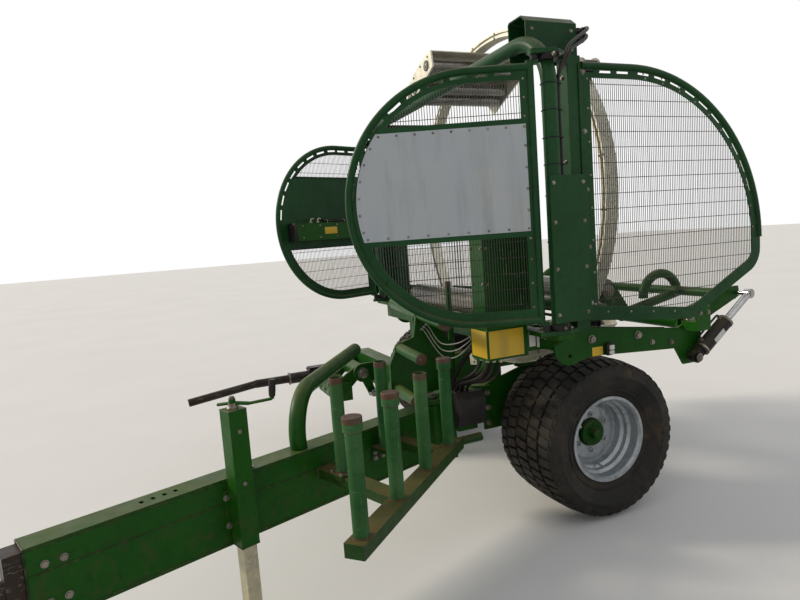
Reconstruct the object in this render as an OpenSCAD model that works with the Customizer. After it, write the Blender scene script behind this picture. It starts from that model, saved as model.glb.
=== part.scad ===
// Trailed round-bale wrapper with an upright wrapping ring, parked on its jack.
// Millimetres. The drawbar leads towards -Y, the machine's left side is +X, and up is +Z.
// Inside the modules x is measured from the machine's centre line and y from the axle;
// in_place() moves the whole machine so that its own middle stands over the origin.

/* [Wheels and axle] */
// Outer diameter of a tyre
tyre_d = 866; // [820:1:872]
// Width of a tyre
tyre_w = 490; // [440:1:500]
// Distance between the tyres' middle planes
track = 1790; // [1780:1:1860]
// Diameter over the rim flanges
rim_d = 467; // [460:1:475]
// Width over the rim flanges
rim_w = 406; // [380:1:410]
// Depth of the wheel disc inside the outer flange
disc_inset = 155; // [140:1:165]
// Thickness of the wheel disc
disc_t = 12; // [8:1:14]
// Side of the square axle beam
axle_side = 100; // [80:1:110]
// Diameter of the axle stubs in the hubs
stub_d = 76; // [60:1:84]

/* [Chassis] */
// Width of a side beam
beam_w = 110; // [80:1:116]
// Height of a side beam
beam_h = 160; // [140:1:170]
// Distance between the side beams' middle planes
beam_gap = 1000; // [960:1:1020]
// Underside of the side beams above the ground
beam_z = 520; // [510:1:530]
// Depth of the front cross beam
cross_d = 120; // [100:1:140]
// Front face of the front cross beam, ahead of the axle
cross_front = 700; // [690:1:720]

/* [Drawbar] */
// Swing of the drawbar to the machine's left as it stands
swing = 20.3; // [10:0.1:24]
// Width of the drawbar box
bar_w = 116; // [100:1:124]
// Height of the drawbar box
bar_h = 290; // [260:1:296]
// Top of the drawbar box above the ground
bar_top = 650; // [646:1:656]
// Length from the swing pin to the front end of the box
bar_len = 2018; // [1900:1:2200]
// Diameter of the swing pin
pin_d = 70; // [50:1:80]
// Bore of the hitch eye
hitch_bore = 51; // [40:1:60]

/* [Film rack] */
// Diameter of a spindle pipe
spindle_d = 60.3; // [50:0.1:70]
// Height of a spindle pipe
spindle_h = 435; // [350:1:480]
// Distance between the outer spindles
spindle_gap = 317; // [290:1:320]
// Splay of the outer rail from the drawbar
rail_splay = 23.6; // [20:0.1:26]
// Width of the outer rail
rail_w = 80; // [70:1:90]
// Height of the outer rail
rail_h = 55; // [40:1:60]
// Top of the rack above the ground
rack_z = 558; // [540:1:580]

/* [Jack] */
// Outer side of the jack's square tube
jack_side = 80; // [74:1:88]
// Length of the jack's tube
jack_len = 580; // [520:1:600]
// Travel of the jack leg
jack_travel = 300; // [200:1:300]
// Diameter of the jack foot
foot_d = 165; // [120:1:180]

/* [Wrapping ring] */
// Outer radius of the ring
ring_r = 1100; // [1080:1:1106]
// Radial depth of the ring section
ring_t = 40; // [30:1:44]
// Width of the ring along its axis
ring_w = 80; // [60:1:84]
// Height of the ring's lowest point above the ground
ring_low = 675; // [670:1:690]
// Middle plane of the ring behind the axle
ring_y = 80; // [70:1:90]
// Radius of a guide roller
guide_r = 40; // [30:1:44]
// Length of a dispenser along the ring's axis
dispenser_len = 760; // [700:1:780]
// Place of the first dispenser round the ring
dispenser_at = 114; // [0:1:359]

/* [Rollers] */
// Diameter of a wrapping roller
roller_d = 160; // [140:1:164]
// Length of a wrapping roller
roller_len = 1100; // [1000:1:1110]
// Height of the roller axes above the ground
roller_z = 1155; // [1150:1:1165]
// Place of the front roller ahead of the axle
front_roller_y = 320; // [318:1:324]
// Place of the rear roller behind the axle
rear_roller_y = 490; // [488:1:496]

/* [Arch] */
// Diameter of the arch tube
arch_d = 76; // [60:1:80]
// Height of the arch's top tube
arch_z = 2500; // [2490:1:2510]
// Place of the arch ahead of the axle
arch_y = 370; // [369:1:372]
// Bend radius of the arch
arch_bend = 250; // [220:1:270]

/* [Guards] */
// Room between the ring and a guard's plane
guard_room = 90; // [85:1:100]
// Turn of the front guards towards the middle
guard_turn = 22; // [18:1:26]
// Radius of a front guard's round end
guard_r = 612; // [600:1:616]
// Straight length of a front guard behind its round end
guard_flat = 315; // [300:1:330]
// Height of the middle of a front guard
guard_z = 1742; // [1738:1:1750]
// Radius of a rear guard's round top
rear_r = 920; // [900:1:925]
// Diameter of the guards' edge tube
edge_d = 34; // [26:1:38]
// Thickness of the guards' sheet
sheet_t = 6; // [4:1:8]
// Spacing of the grille wires
wire_gap = 76; // [70:1:90]
// Width of a grille wire
wire_w = 5; // [4:1:7]

/* [Loader and table] */
// Diameter of the loader's tine
tine_d = 68; // [56:1:76]
// Length of the tine from its socket
tine_len = 900; // [800:1:950]
// Distance of the side plates from the centre line
plate_x = 1080; // [1078:1:1084]
// Diameter of a table ram's barrel
ram_d = 82; // [70:1:88]
// Diameter of a ram's rod
rod_d = 40; // [30:1:50]
// Diameter of the bale hoop's tube
hoop_d = 80; // [70:1:90]

/* [Hidden] */

// Where the middle of the whole machine lies from the centre line and the axle
middle_x = 127;
middle_y = -908;
clear = 0.3;

// Colours
body_green = [0.08, 0.32, 0.10];
frame_green = [0.06, 0.22, 0.14];
pale_metal = [0.78, 0.74, 0.60];
dark_steel = [0.16, 0.15, 0.15];
black = [0.05, 0.05, 0.05];
silver = [0.72, 0.74, 0.76];

ring_z = ring_low + ring_r;
guard_x = ring_r + guard_room;
arch_x = guard_x + 15;
axle_z = tyre_d / 2;
tyre_x = track / 2;
rim_seat_r = 216;
rim_out_x = tyre_x + rim_w / 2;
disc_x = rim_out_x - disc_inset;
pivot_x = 565;
pivot_y = -800;
bar_bottom = bar_top - bar_h;
rack_wall = 8;
gap = 8;

module in_place() {
    translate([-middle_x, -middle_y, 0])
        children();
}

// Round bar from point p to point q
module rod_between(p, q, d) {
    v = q - p;
    length = norm(v);
    translate(p)
        rotate([0, acos(v[2] / length), atan2(v[1], v[0])])
            cylinder(d = d, h = length, $fn = 48);
}

// Box given by its lowest corner and its highest corner
module block(low, high) {
    translate(low)
        cube(high - low);
}

// Copies on both sides of the centre line
module both_sides() {
    children();
    mirror([1, 0, 0])
        children();
}

// From the drawbar's own frame, with its swing pin at the origin and its nose towards -Y
module on_drawbar() {
    translate([pivot_x, pivot_y, 0])
        rotate([0, 0, swing])
            children();
}

function arc(cx, cy, r, from, to, steps) =
    [for (i = [0:steps]) [cx + r * cos(from + (to - from) * i / steps),
                          cy + r * sin(from + (to - from) * i / steps)]];

// Wheels

// Half section of a tyre as [radius, distance from its middle plane]
module tyre_section() {
    half = tyre_w / 2;
    crown = tyre_d / 2;
    wall = 24;
    bead = 180;
    polygon(concat(
        [[rim_seat_r + clear, bead], [250, bead + 16]],
        arc(320, half - 70, 70, 75, 15, 4),
        [[crown - 14, half - 62], [crown, half - 95], [crown, -(half - 95)], [crown - 14, -(half - 62)]],
        arc(320, -(half - 70), 70, -15, -75, 4),
        [[250, -(bead + 16)], [rim_seat_r + clear, -bead], [rim_seat_r + clear, -(bead - wall)],
         [262, -(bead - 12)], [330, -(half - 40)], [crown - 46, -(half - 70)],
         [crown - 34, -(half - 110)], [crown - 34, half - 110], [crown - 46, half - 70],
         [330, half - 40], [262, bead - 12], [rim_seat_r + clear, bead - wall]]));
}

module tyre(side) {
    color(black)
        in_place()
            translate([side * tyre_x, 0, axle_z])
                rotate([0, 90, 0])
                    rotate_extrude($fn = 96)
                        tyre_section();
}

// Rim section as [radius, distance outwards from its middle plane]
module rim_section() {
    out = rim_w / 2;
    wall = 7;
    disc_out = out - disc_inset;
    polygon([[rim_d / 2, out], [rim_d / 2, out - wall], [rim_seat_r + wall, out - 2 * wall],
        [rim_seat_r, out - 16], [rim_seat_r, out - 62], [rim_seat_r - 14, out - 74],
        [rim_seat_r - 14, out - 100], [rim_seat_r - 30, out - 112], [rim_seat_r - 30, -(out - 112)],
        [rim_seat_r - 14, -(out - 100)], [rim_seat_r - 14, -(out - 74)], [rim_seat_r, -(out - 62)],
        [rim_seat_r, -(out - 16)], [rim_seat_r + wall, -(out - 2 * wall)],
        [rim_d / 2, -(out - wall)], [rim_d / 2, -out], [rim_seat_r + 2, -out],
        [rim_seat_r - wall, -(out - 14)], [rim_seat_r - wall, -(out - 60)],
        [rim_seat_r - 22, -(out - 72)], [rim_seat_r - 22, -(out - 98)],
        [rim_seat_r - 38, -(out - 110)], [rim_seat_r - 38, disc_out - disc_t - 14],
        [150, disc_out - disc_t], [80.5, disc_out - disc_t], [80.5, disc_out], [146, disc_out],
        [rim_seat_r - 44, disc_out - 10], [rim_seat_r - 38, disc_out], [rim_seat_r - 38, out - 116],
        [rim_seat_r - 22, out - 104], [rim_seat_r - 22, out - 78], [rim_seat_r - wall, out - 66],
        [rim_seat_r - wall, out - 14], [rim_seat_r + 2, out]]);
}

module rim(side) {
    color(silver)
        in_place()
            translate([side * tyre_x, 0, axle_z])
                rotate([0, side * 90, 0])
                    rotate_extrude($fn = 96)
                        rim_section();
}

// Hub section as [radius, distance from the machine's centre line]
module hub_section() {
    bore = stub_d / 2 + clear;
    polygon([[bore, tyre_x - 175], [62, tyre_x - 175], [62, disc_x - 60], [78, disc_x - 40],
        [125, disc_x - disc_t - 20], [125, disc_x - disc_t - clear], [73, disc_x - disc_t - clear],
        [73, disc_x + 26], [66, disc_x + 32], [30, disc_x + 32], [30, disc_x + 68],
        [24, disc_x + 74], [0, disc_x + 74], [0, disc_x + 6], [bore, disc_x + 6]]);
}

module hub(side) {
    color(body_green)
        in_place()
            translate([0, 0, axle_z])
                rotate([0, side * 90, 0])
                    rotate_extrude($fn = 96)
                        hub_section();
}

module tyre_left() {
    tyre(1);
}

module tyre_right() {
    tyre(-1);
}

module rim_left() {
    rim(1);
}

module rim_right() {
    rim(-1);
}

module hub_left() {
    hub(1);
}

module hub_right() {
    hub(-1);
}

// Square axle beam with its stubs and the pads under the side beams
module axle_beam() {
    color(body_green)
        in_place() {
            half = tyre_x - 255;
            block([-half, -axle_side / 2, axle_z - axle_side / 2],
                  [half, axle_side / 2, axle_z + axle_side / 2]);
            translate([0, 0, axle_z])
                rotate([0, 90, 0])
                    cylinder(d = stub_d, h = 2 * disc_x - 4, center = true, $fn = 64);
            both_sides()
                block([beam_gap / 2 - beam_w / 2, -axle_side / 2, axle_z + axle_side / 2 - 1],
                      [beam_gap / 2 + beam_w / 2, axle_side / 2, beam_z]);
        }
}

// Chassis

sill_half = 1000;
shelf_half = arch_x + 45;
side_in = beam_gap / 2 - beam_w / 2;
side_out = beam_gap / 2 + beam_w / 2;
beam_top = beam_z + beam_h;
sill_z = 960;
sill_top = 1068;
sill_front = arch_y + 50;
sill_back = arch_y - 50;
rear_end = 560;
loader_y = -790;
loader_z = 600;
table_y = 620;
table_z = 1000;

module chassis_frame() {
    color(body_green)
        in_place() {
            both_sides()
                block([side_in, -cross_front + 20, beam_z], [side_out, rear_end, beam_top]);
            block([-1100, -cross_front, beam_z - 20], [700, -cross_front + cross_d, beam_top + 20]);
            block([-side_out, rear_end - 80, beam_z - 40], [side_out, rear_end, beam_z + 60]);
            both_sides()
                block([side_in, -sill_front, beam_top - 5], [side_out, -sill_back, sill_z + 5]);
            block([-sill_half, -sill_front, sill_z], [sill_half, -sill_back, sill_top]);
            both_sides()
                leg_shelf();
            beam_plate();
            swing_lugs();
            loader_lugs();
            loader_ram_lug();
        }
}

// Shelf at the sill's end under the arch leg, with its gusset behind the leg
module leg_shelf() {
    shelf_t = 22;
    gusset_t = 12;
    block([sill_half - 10, -arch_y - 42, sill_top - shelf_t], [shelf_half, -sill_back, sill_top]);
    translate([0, -sill_back - 13, 0])
        rotate([90, 0, 0])
            linear_extrude(gusset_t)
                polygon([[sill_half - 5, sill_z], [sill_half + 60, sill_z + 10],
                         [shelf_half - 25, sill_top - shelf_t + 1], [sill_half - 5, sill_top - shelf_t + 1]]);
}

// Deep plate outside the left beam, drawn as [y, z], and the oval plate on the beam ahead of the sill
module beam_plate() {
    oval_x = side_out - 35;
    oval_y = -450;
    translate([side_out - 1, 0, 0])
        rotate([90, 0, 90])
            linear_extrude(15)
                polygon([[-460, 430], [-460, beam_top + 16], [-190, 770], [-70, 770], [-70, 495],
                         [-210, 430]]);
    block([oval_x - 65, oval_y, beam_top - 2], [oval_x + 65, -sill_front + 5, beam_top + 18]);
    translate([oval_x, oval_y, beam_top - 2])
        cylinder(r = 65, h = 20, $fn = 64);
}

// Two plates that hold the drawbar's swing pin
module swing_lugs() {
    lug = 20;
    for (z = [bar_bottom - gap - lug, bar_top + gap])
        difference() {
            union() {
                block([pivot_x - 75, pivot_y, z], [pivot_x + 75, -cross_front + 10, z + lug]);
                translate([pivot_x, pivot_y, z])
                    cylinder(r = 75, h = lug, $fn = 64);
            }
            translate([pivot_x, pivot_y, z - 1])
                cylinder(d = pin_d + 2 * clear, h = lug + 2, $fn = 64);
        }
    block([pivot_x - 75, -cross_front - 4, bar_bottom - gap - lug],
          [pivot_x + 75, -cross_front + 16, bar_top + gap + lug]);
}

// Plates that hold the loader's pivot tube
module loader_lugs() {
    for (x = [-1090, -670])
        difference() {
            union() {
                block([x, loader_y, loader_z - 70], [x + 20, -cross_front + 5, loader_z + 70]);
                translate([x, loader_y, loader_z])
                    rotate([0, 90, 0])
                        cylinder(r = 70, h = 20, $fn = 64);
            }
            translate([x - 1, loader_y, loader_z])
                rotate([0, 90, 0])
                    cylinder(d = loader_pivot_d + 2 * clear, h = 22, $fn = 64);
        }
}

// Plate under the side beam that holds the foot of the loader's ram
module loader_ram_lug() {
    foot = loader_ram_foot;
    block([loader_ram_x + ram_eye / 2 + clear, foot[0] - 40, foot[1] - 35],
          [-side_out + 15, foot[0] + 40, beam_z + 30]);
    translate([loader_ram_x - ram_eye / 2, foot[0], foot[1]])
        rotate([0, 90, 0])
            cylinder(d = ram_pin, h = ram_eye + 10, $fn = 48);
}

// Upright tube arch ahead of the ring
module front_arch() {
    color(frame_green)
        in_place() {
            arch_tube(arch_d / 2);
            translate([0, -arch_y, 0])
                both_sides() {
                    hinge_brackets();
                    panel_post();
                }
        }
}

hinge_x = guard_x + 5;
hinge_y = -arch_y - 70;
hinge_low = guard_z - guard_r - 30;
hinge_high = guard_z + guard_r + 30;

// Clamps on the arch leg that hold the guard's hinge pins and the flat post
module hinge_brackets() {
    for (z = [sill_top + clear, hinge_high + 5])
        translate([0, arch_y, z])
            difference() {
                union() {
                    linear_extrude(20)
                        polygon([[arch_x - 42, -arch_y - 20], [hinge_x - 28, hinge_y],
                                 [hinge_x + 28, hinge_y], [arch_x + 42, -arch_y - 20],
                                 [arch_x + 42, -arch_y + 30], [guard_x - 3, -arch_y + 130],
                                 [guard_x - 40, -arch_y + 130], [arch_x - 42, -arch_y + 30]]);
                    translate([hinge_x, hinge_y, 0])
                        cylinder(r = 28, h = 20, $fn = 48);
                }
                translate([hinge_x, hinge_y, -1])
                    cylinder(d = 24 + 2 * clear, h = 22, $fn = 48);
            }
}

post_y = arch_y - 120;
post_web = guard_x - sheet_t / 2 - clear;

// Angle-section upright behind the arch leg, which carries the rear guard
module panel_post() {
    low = sill_top + clear;
    high = hinge_high + 15;
    translate([0, arch_y, 0]) {
        block([guard_x - 80, -post_y, low], [post_web, -post_y + 8, high]);
        block([post_web - 8, -post_y, low], [post_web, rear_front + 25, high]);
    }
}

// Folded sheet column outside each arch leg
module post_panels() {
    low = guard_z - guard_r;
    high = 1830;
    out = arch_x + 47;
    color(frame_green)
        in_place()
            both_sides() {
                block([out - 6, -arch_y - 55, low], [out, -post_y + 40, high]);
                block([out - 22, -arch_y - 55, low], [out, -arch_y - 49, high]);
                block([post_web + clear, -post_y + 34, low], [out, -post_y + 40, high]);
            }
}

box_in = 895;
box_out = 1048;
box_low = 2435;
box_high = 2632;
box_back = -70;

// Folded housing over the arch's upper left corner, with the drive roller's plate
module drive_box() {
    fold = [38, 33];
    nick = 12;
    wall = 6;
    front = -arch_y - 5;
    color(frame_green)
        in_place()
            difference() {
                union() {
                    translate([0, box_back, 0])
                        rotate([90, 0, 0])
                            linear_extrude(box_back - front)
                                polygon([[box_in, box_low], [box_in, box_high - nick],
                                         [box_in + nick, box_high], [box_out - fold[0], box_high],
                                         [box_out, box_high - fold[1]], [box_out, box_low],
                                         [box_out - wall, box_low],
                                         [box_out - wall, box_high - fold[1] - 2],
                                         [box_out - fold[0] - 2, box_high - wall],
                                         [box_in + nick + 2, box_high - wall],
                                         [box_in + wall, box_high - nick - 2],
                                         [box_in + wall, box_low]]);
                    block([box_in + 2, box_back - wall, box_low],
                          [box_out - 2, box_back, box_high - fold[1]]);
                    block([guide_x - 38, box_back - wall, box_low - 40],
                          [guide_x + 40, box_back, box_low + 5]);
                }
                arch_tube(arch_d / 2 + clear);
                translate([guide_x, box_back - 20, guide_z])
                    rotate([-90, 0, 0])
                        cylinder(r = 14 + clear, h = 40, $fn = 32);
            }
}

// The arch's tube from leg to leg, as a solid of radius r
module arch_tube(r) {
    bend = arch_bend;
    translate([0, -arch_y, 0]) {
        both_sides() {
            translate([arch_x, 0, sill_top + clear])
                cylinder(r = r, h = arch_z - bend - sill_top - clear, $fn = 64);
            translate([arch_x - bend, 0, arch_z - bend])
                rotate([90, 0, 0])
                    rotate_extrude(angle = 90, $fn = 96)
                        translate([bend, 0])
                            circle(r = r, $fn = 64);
        }
        translate([0, 0, arch_z])
            rotate([0, 90, 0])
                cylinder(r = r, h = 2 * (arch_x - bend), center = true, $fn = 64);
    }
}

guide_x = 940;
guide_z = ring_z + sqrt(pow(ring_r + clear + guide_r, 2) - guide_x * guide_x);

// Hydraulic motor behind the drive housing
module drive_motor() {
    color(black)
        in_place()
            translate([box_out - 50, box_back + clear, 2555])
                rotate([-90, 0, 0]) {
                    cylinder(d = 80, h = 50, $fn = 48);
                    translate([0, 0, 45])
                        cylinder(d = 60, h = 35, $fn = 48);
                    translate([-34, -32, 20])
                        cube([68, 64, 22]);
                }
}

// Rollers that carry the ring, with their arms
module ring_guides() {
    low_angle = 40;
    low_x = (ring_r + clear + guide_r) * cos(low_angle);
    low_z = ring_z - (ring_r + clear + guide_r) * sin(low_angle);
    front = ring_y - ring_w / 2 - 12;
    color(dark_steel)
        in_place()
            for (side = [-1, 1]) {
                guide_roller(side * low_x, low_z);
                guide_roller(side * guide_x, guide_z);
                mirror([side < 0 ? 1 : 0, 0, 0])
                    block([low_x - 45, -sill_back + clear, low_z - 35], [low_x + 45, front, low_z + 35]);
                // arm from the arch to the far upper roller
                if (side < 0)
                    block([-guide_x - 35, -arch_y + arch_d / 2 + clear - 30, guide_z - 25],
                          [-guide_x + 35, front, guide_z + 60]);
            }
}

// Roller outside the ring with its shaft reaching forward
module guide_roller(x, z) {
    reach_y = 170;
    translate([x, ring_y, z])
        rotate([90, 0, 0]) {
            cylinder(r = guide_r, h = ring_w - 4, center = true, $fn = 64);
            cylinder(r = 14, h = reach_y, $fn = 32);
        }
}

// Arms and bearings of the front wrapping roller
module roller_stand() {
    arm_in = roller_len / 2 + 8;
    color(body_green)
        in_place()
            both_sides()
                difference() {
                    union() {
                        block([arm_in, -sill_front, sill_top + clear], [arm_in + 16, -front_roller_y, 1190]);
                        translate([arm_in, -front_roller_y, roller_z])
                            rotate([0, 90, 0])
                                cylinder(r = 55, h = 16, $fn = 64);
                    }
                    translate([arm_in - 1, -front_roller_y, roller_z])
                        rotate([0, 90, 0])
                            cylinder(d = 40 + 2 * clear, h = 18, $fn = 48);
                }
}

module wrap_roller(y) {
    color(silver)
        in_place()
            translate([0, y, roller_z])
                rotate([0, 90, 0]) {
                    cylinder(d = roller_d, h = roller_len, center = true, $fn = 96);
                    cylinder(d = 40, h = roller_len + 46, center = true, $fn = 48);
                }
}

module roller_front() {
    wrap_roller(-front_roller_y);
}

module roller_rear() {
    wrap_roller(rear_roller_y);
}

// Ring of rolled channel
module wrapping_ring() {
    color(pale_metal)
        in_place()
            translate([0, ring_y, ring_z])
                rotate([90, 0, 0])
                    rotate_extrude($fn = 96)
                        translate([ring_r - ring_t, -ring_w / 2])
                            difference() {
                                square([ring_t, ring_w]);
                                translate([12, -1])
                                    square([ring_t - 24, 13]);
                                translate([12, ring_w - 12])
                                    square([ring_t - 24, 13]);
                            }
}

// Dispensers

// Frame of a dispenser: outwards is +X, along the ring is +Z, and its front end is y = 0
module at_dispenser(angle) {
    translate([0, ring_y - dispenser_len / 2, ring_z])
        rotate([0, -angle, 0])
            children();
}

plate_in = ring_r - 188;
plate_out = ring_r - ring_t - clear;
reach = 16;

module dispenser_frames() {
    color(pale_metal)
        in_place()
            for (angle = [dispenser_at, dispenser_at + 180])
                at_dispenser(angle)
                    difference() {
                        union() {
                            intersection() {
                                union() {
                                    dispenser_arc(0, 12, plate_in, plate_out);
                                    dispenser_arc(dispenser_len - 12, 12, plate_in, plate_out);
                                }
                                block([plate_in, -1, -plate_out], [plate_out, dispenser_len + 1, plate_out]);
                            }
                            dispenser_arc(6, dispenser_len - 12, plate_out - 6, plate_out);
                        }
                        for (place = dispenser_places)
                            translate([place[0], -1, place[1]])
                                rotate([-90, 0, 0])
                                    cylinder(d = place[3] + 2 * clear, h = dispenser_len + 2, $fn = 48);
                    }
}

// Curved piece of a dispenser between two radii, starting at y and t deep
module dispenser_arc(y, t, from, to) {
    translate([0, y, 0])
        rotate([-90, 0, 0])
            rotate([0, 0, -reach])
                rotate_extrude(angle = 2 * reach, $fn = 96)
                    translate([from, 0])
                        square([to - from, t]);
}

// Rollers of a dispenser: [outwards, along, diameter, journal diameter]
dispenser_places = [[ring_r - 125, -190, 74, 30], [ring_r - 130, 40, 80, 30],
    [ring_r - 145, 140, 80, 30]];

module dispenser_rollers() {
    color(silver)
        in_place()
            for (angle = [dispenser_at, dispenser_at + 180])
                at_dispenser(angle)
                    for (place = dispenser_places)
                        translate([place[0], 0, place[1]])
                            rotate([-90, 0, 0]) {
                                translate([0, 0, 16])
                                    cylinder(d = place[2], h = dispenser_len - 32, $fn = 64);
                                translate([0, 0, 1])
                                    cylinder(d = place[3], h = dispenser_len - 2, $fn = 48);
                            }
}

// Guards

// Outline of a front guard, from its hinge edge at u = 0, with v upwards
module front_outline(inset) {
    low = guard_z - guard_r + inset;
    translate([inset, low])
        square([guard_flat - inset, 2 * (guard_r - inset)]);
    intersection() {
        translate([guard_flat, guard_z])
            circle(r = guard_r - inset, $fn = 96);
        translate([guard_flat - 1, low - 1])
            square([guard_r + 2, 2 * guard_r]);
    }
}

bar_u = 74;
slot_w = 12;
slot_len = 75;
slot_gap = 110;
slot_in = 44;
panel_low = 1580;
panel_high = 2080;

// Windows of a front guard, upper and lower
module front_windows() {
    intersection() {
        front_outline(bar_u);
        union() {
            translate([0, panel_high + 25])
                square([2000, 600]);
            translate([0, panel_low - 25 - 600])
                square([2000, 600]);
        }
    }
}

// Long slots beside the edge tube: along a curve from one angle to the other, then along the straight top
module edge_slots(middle, r, from, to, straight) {
    turn = slot_gap / r * 180 / PI;
    for (a = [from:turn:to])
        translate([middle[0] + r * cos(a), middle[1] + r * sin(a)])
            rotate(a)
                square([slot_w, slot_len], center = true);
    for (u = [slot_gap / 2:slot_gap:straight])
        translate([middle[0] - u, middle[1] + r])
            square([slot_len, slot_w], center = true);
}

module front_guard_frame() {
    translate([hinge_x, hinge_y, 0])
        rotate([0, 0, -guard_turn]) {
            guard_sheet(0, sheet_t)
                difference() {
                    front_outline(12);
                    front_windows();
                    edge_slots([guard_flat, guard_z], guard_r - slot_in, 8, 86, guard_flat - 60);
                }
            // edge tube
            for (v = [guard_z - guard_r + edge_d / 2, guard_z + guard_r - edge_d / 2])
                translate([0, -20, v])
                    rotate([90, 0, 0])
                        cylinder(d = edge_d, h = guard_flat - 20, $fn = 48);
            translate([0, -guard_flat, guard_z])
                rotate([0, 90, 0])
                    rotate([0, 0, 180])
                        rotate_extrude(angle = 180, $fn = 96)
                            translate([guard_r - edge_d / 2, 0])
                                circle(d = edge_d, $fn = 48);
            translate([0, -22, guard_z - guard_r])
                cylinder(d = edge_d, h = 2 * guard_r, $fn = 48);
            // hinge arms and pins
            for (v = [guard_z - guard_r - 10, guard_z + guard_r - 10])
                block([-12, -40, v], [12, 12, v + 20]);
            translate([0, 0, sill_top + 2])
                cylinder(d = 24, h = hinge_low + 28 - sill_top - 2, $fn = 48);
            translate([0, 0, hinge_high - 28])
                cylinder(d = 24, h = 52, $fn = 48);
        }
}

// A sheet in the guard's plane, drawn as [distance from the hinge, height]
module guard_sheet(x, t) {
    translate([x - t / 2, 0, 0])
        rotate([90, 0, -90])
            mirror([0, 0, 1])
                linear_extrude(t)
                    children();
}

// Grille of crossed wires over a drawing
module grille(width, low, high) {
    intersection() {
        children();
        union() {
            for (u = [wire_gap / 2:wire_gap:width])
                translate([u, low])
                    square([wire_w, high - low]);
            for (v = [low + wire_gap / 2:wire_gap:high])
                translate([0, v])
                    square([width, wire_w]);
        }
    }
}

module front_guard_mesh() {
    low = guard_z - guard_r;
    translate([hinge_x, hinge_y, 0])
        rotate([0, 0, -guard_turn])
            guard_sheet(-sheet_t / 2 - wire_w / 2 - clear, wire_w)
                grille(1000, low, low + 2 * guard_r)
                    intersection() {
                        front_outline(bar_u - 16);
                        union() {
                            translate([0, panel_high + 10])
                                square([2000, 600]);
                            translate([0, panel_low - 10 - 600])
                                square([2000, 600]);
                        }
                    }
}

module front_guard_panel() {
    translate([hinge_x, hinge_y, 0])
        rotate([0, 0, -guard_turn])
            guard_sheet(sheet_t / 2 + 1 + clear, 2)
                intersection() {
                    front_outline(edge_d + 20);
                    translate([45, panel_low])
                        square([2000, panel_high - panel_low]);
                }
}

module guard_left_frame() {
    color(frame_green)
        in_place()
            front_guard_frame();
}

module guard_left_mesh() {
    color(dark_steel)
        in_place()
            front_guard_mesh();
}

module guard_left_panel() {
    color([0.85, 0.87, 0.88])
        in_place()
            front_guard_panel();
}

module guard_right_frame() {
    color(frame_green)
        in_place()
            mirror([1, 0, 0])
                front_guard_frame();
}

module guard_right_mesh() {
    color(dark_steel)
        in_place()
            mirror([1, 0, 0])
                front_guard_mesh();
}

// Sheet in the middle of the right guard, with the long box on its inner side
module guard_right_box() {
    color(body_green)
        in_place()
            mirror([1, 0, 0])
                translate([hinge_x, hinge_y, 0])
                    rotate([0, 0, -guard_turn]) {
                        guard_sheet(sheet_t / 2 + 1 + clear, 2)
                            intersection() {
                                front_outline(edge_d + 20);
                                translate([45, panel_low])
                                    square([2000, panel_high - panel_low]);
                            }
                        block([-sheet_t / 2 - 90, -820, panel_low + 40],
                              [-sheet_t / 2 - clear, -120, panel_low + 170]);
                    }
}

// Outline of a rear guard as [distance behind the axle, height]
rear_front = -195;
rear_mid = [140, 1450];
rear_low = [500, 1030];

module rear_outline(inset) {
    r = rear_r - inset;
    tip = 150;
    polygon(concat(
        [[rear_front + inset, 1105 + inset], [rear_front + inset, rear_mid[1] + r]],
        arc(rear_mid[0], rear_mid[1], r, 90, 0, 24),
        arc(rear_mid[0] + rear_r - tip, rear_mid[1] - 60, tip - inset, 0, -60, 6),
        [[rear_low[0] + 10, rear_low[1] + inset]]));
}

module rear_guard_frames() {
    color(frame_green)
        in_place()
            both_sides() {
                translate([guard_x, 0, 0])
                    rear_sheet(sheet_t)
                        difference() {
                            rear_outline(8);
                            rear_outline(bar_u);
                            edge_slots(rear_mid, rear_r - slot_in, 20, 87, rear_mid[0] - rear_front - 60);
                        }
                rear_edge();
            }
}

// A sheet in a rear guard's plane, drawn as [distance behind the axle, height]
module rear_sheet(t) {
    translate([-t / 2, 0, 0])
        rotate([90, 0, 90])
            linear_extrude(t)
                children();
}

module rear_edge() {
    translate([guard_x, rear_mid[0], rear_mid[1]])
        rotate([90, 0, 90])
            rotate_extrude(angle = 90, $fn = 96)
                translate([rear_r - edge_d / 2, 0])
                    circle(d = edge_d, $fn = 48);
    translate([guard_x, rear_front + 26, rear_mid[1] + rear_r - edge_d / 2])
        rotate([-90, 0, 0])
            cylinder(d = edge_d, h = rear_mid[0] - rear_front - 26, $fn = 48);
}

module rear_guard_meshes() {
    color(dark_steel)
        in_place()
            both_sides()
                translate([guard_x - sheet_t / 2 - wire_w / 2 - clear, 0, 0])
                    rear_sheet(wire_w)
                        translate([rear_front, 0])
                            grille(1400, 1050, 2400)
                                translate([-rear_front, 0])
                                    rear_outline(bar_u - 16);
}

valve_in = 830;
valve_out = 1000;
valve_front = -660;
valve_low = 940;
valve_high = 1100;
column_in = 870;
column_back = -330;
column_high = 1750;

// Valve housing on the left, with the tall sheet column above it
module valve_box() {
    wall = 8;
    color(body_green)
        in_place() {
            difference() {
                block([valve_in, valve_front, valve_low], [valve_out, -sill_front - clear, valve_high]);
                block([valve_in + wall, valve_front + wall, valve_low - 1],
                      [valve_out - wall, -sill_front - wall, valve_high - wall]);
            }
            block([valve_in + 12, valve_front + 30, valve_low + 15],
                  [valve_out - 28, -470, valve_high - wall + 1]);
            difference() {
                block([column_in, valve_front, valve_high - 1], [valve_out, column_back, column_high]);
                block([column_in - 1, valve_front + wall, valve_high + wall],
                      [valve_out - wall, column_back + 1, column_high - wall]);
            }
        }
}

hose_d = 18;
hose_sides = 8;
hose_steps = 16;
hose_count = 6;
// Distance between the hoses' three rows
hose_row = 27;

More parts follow.
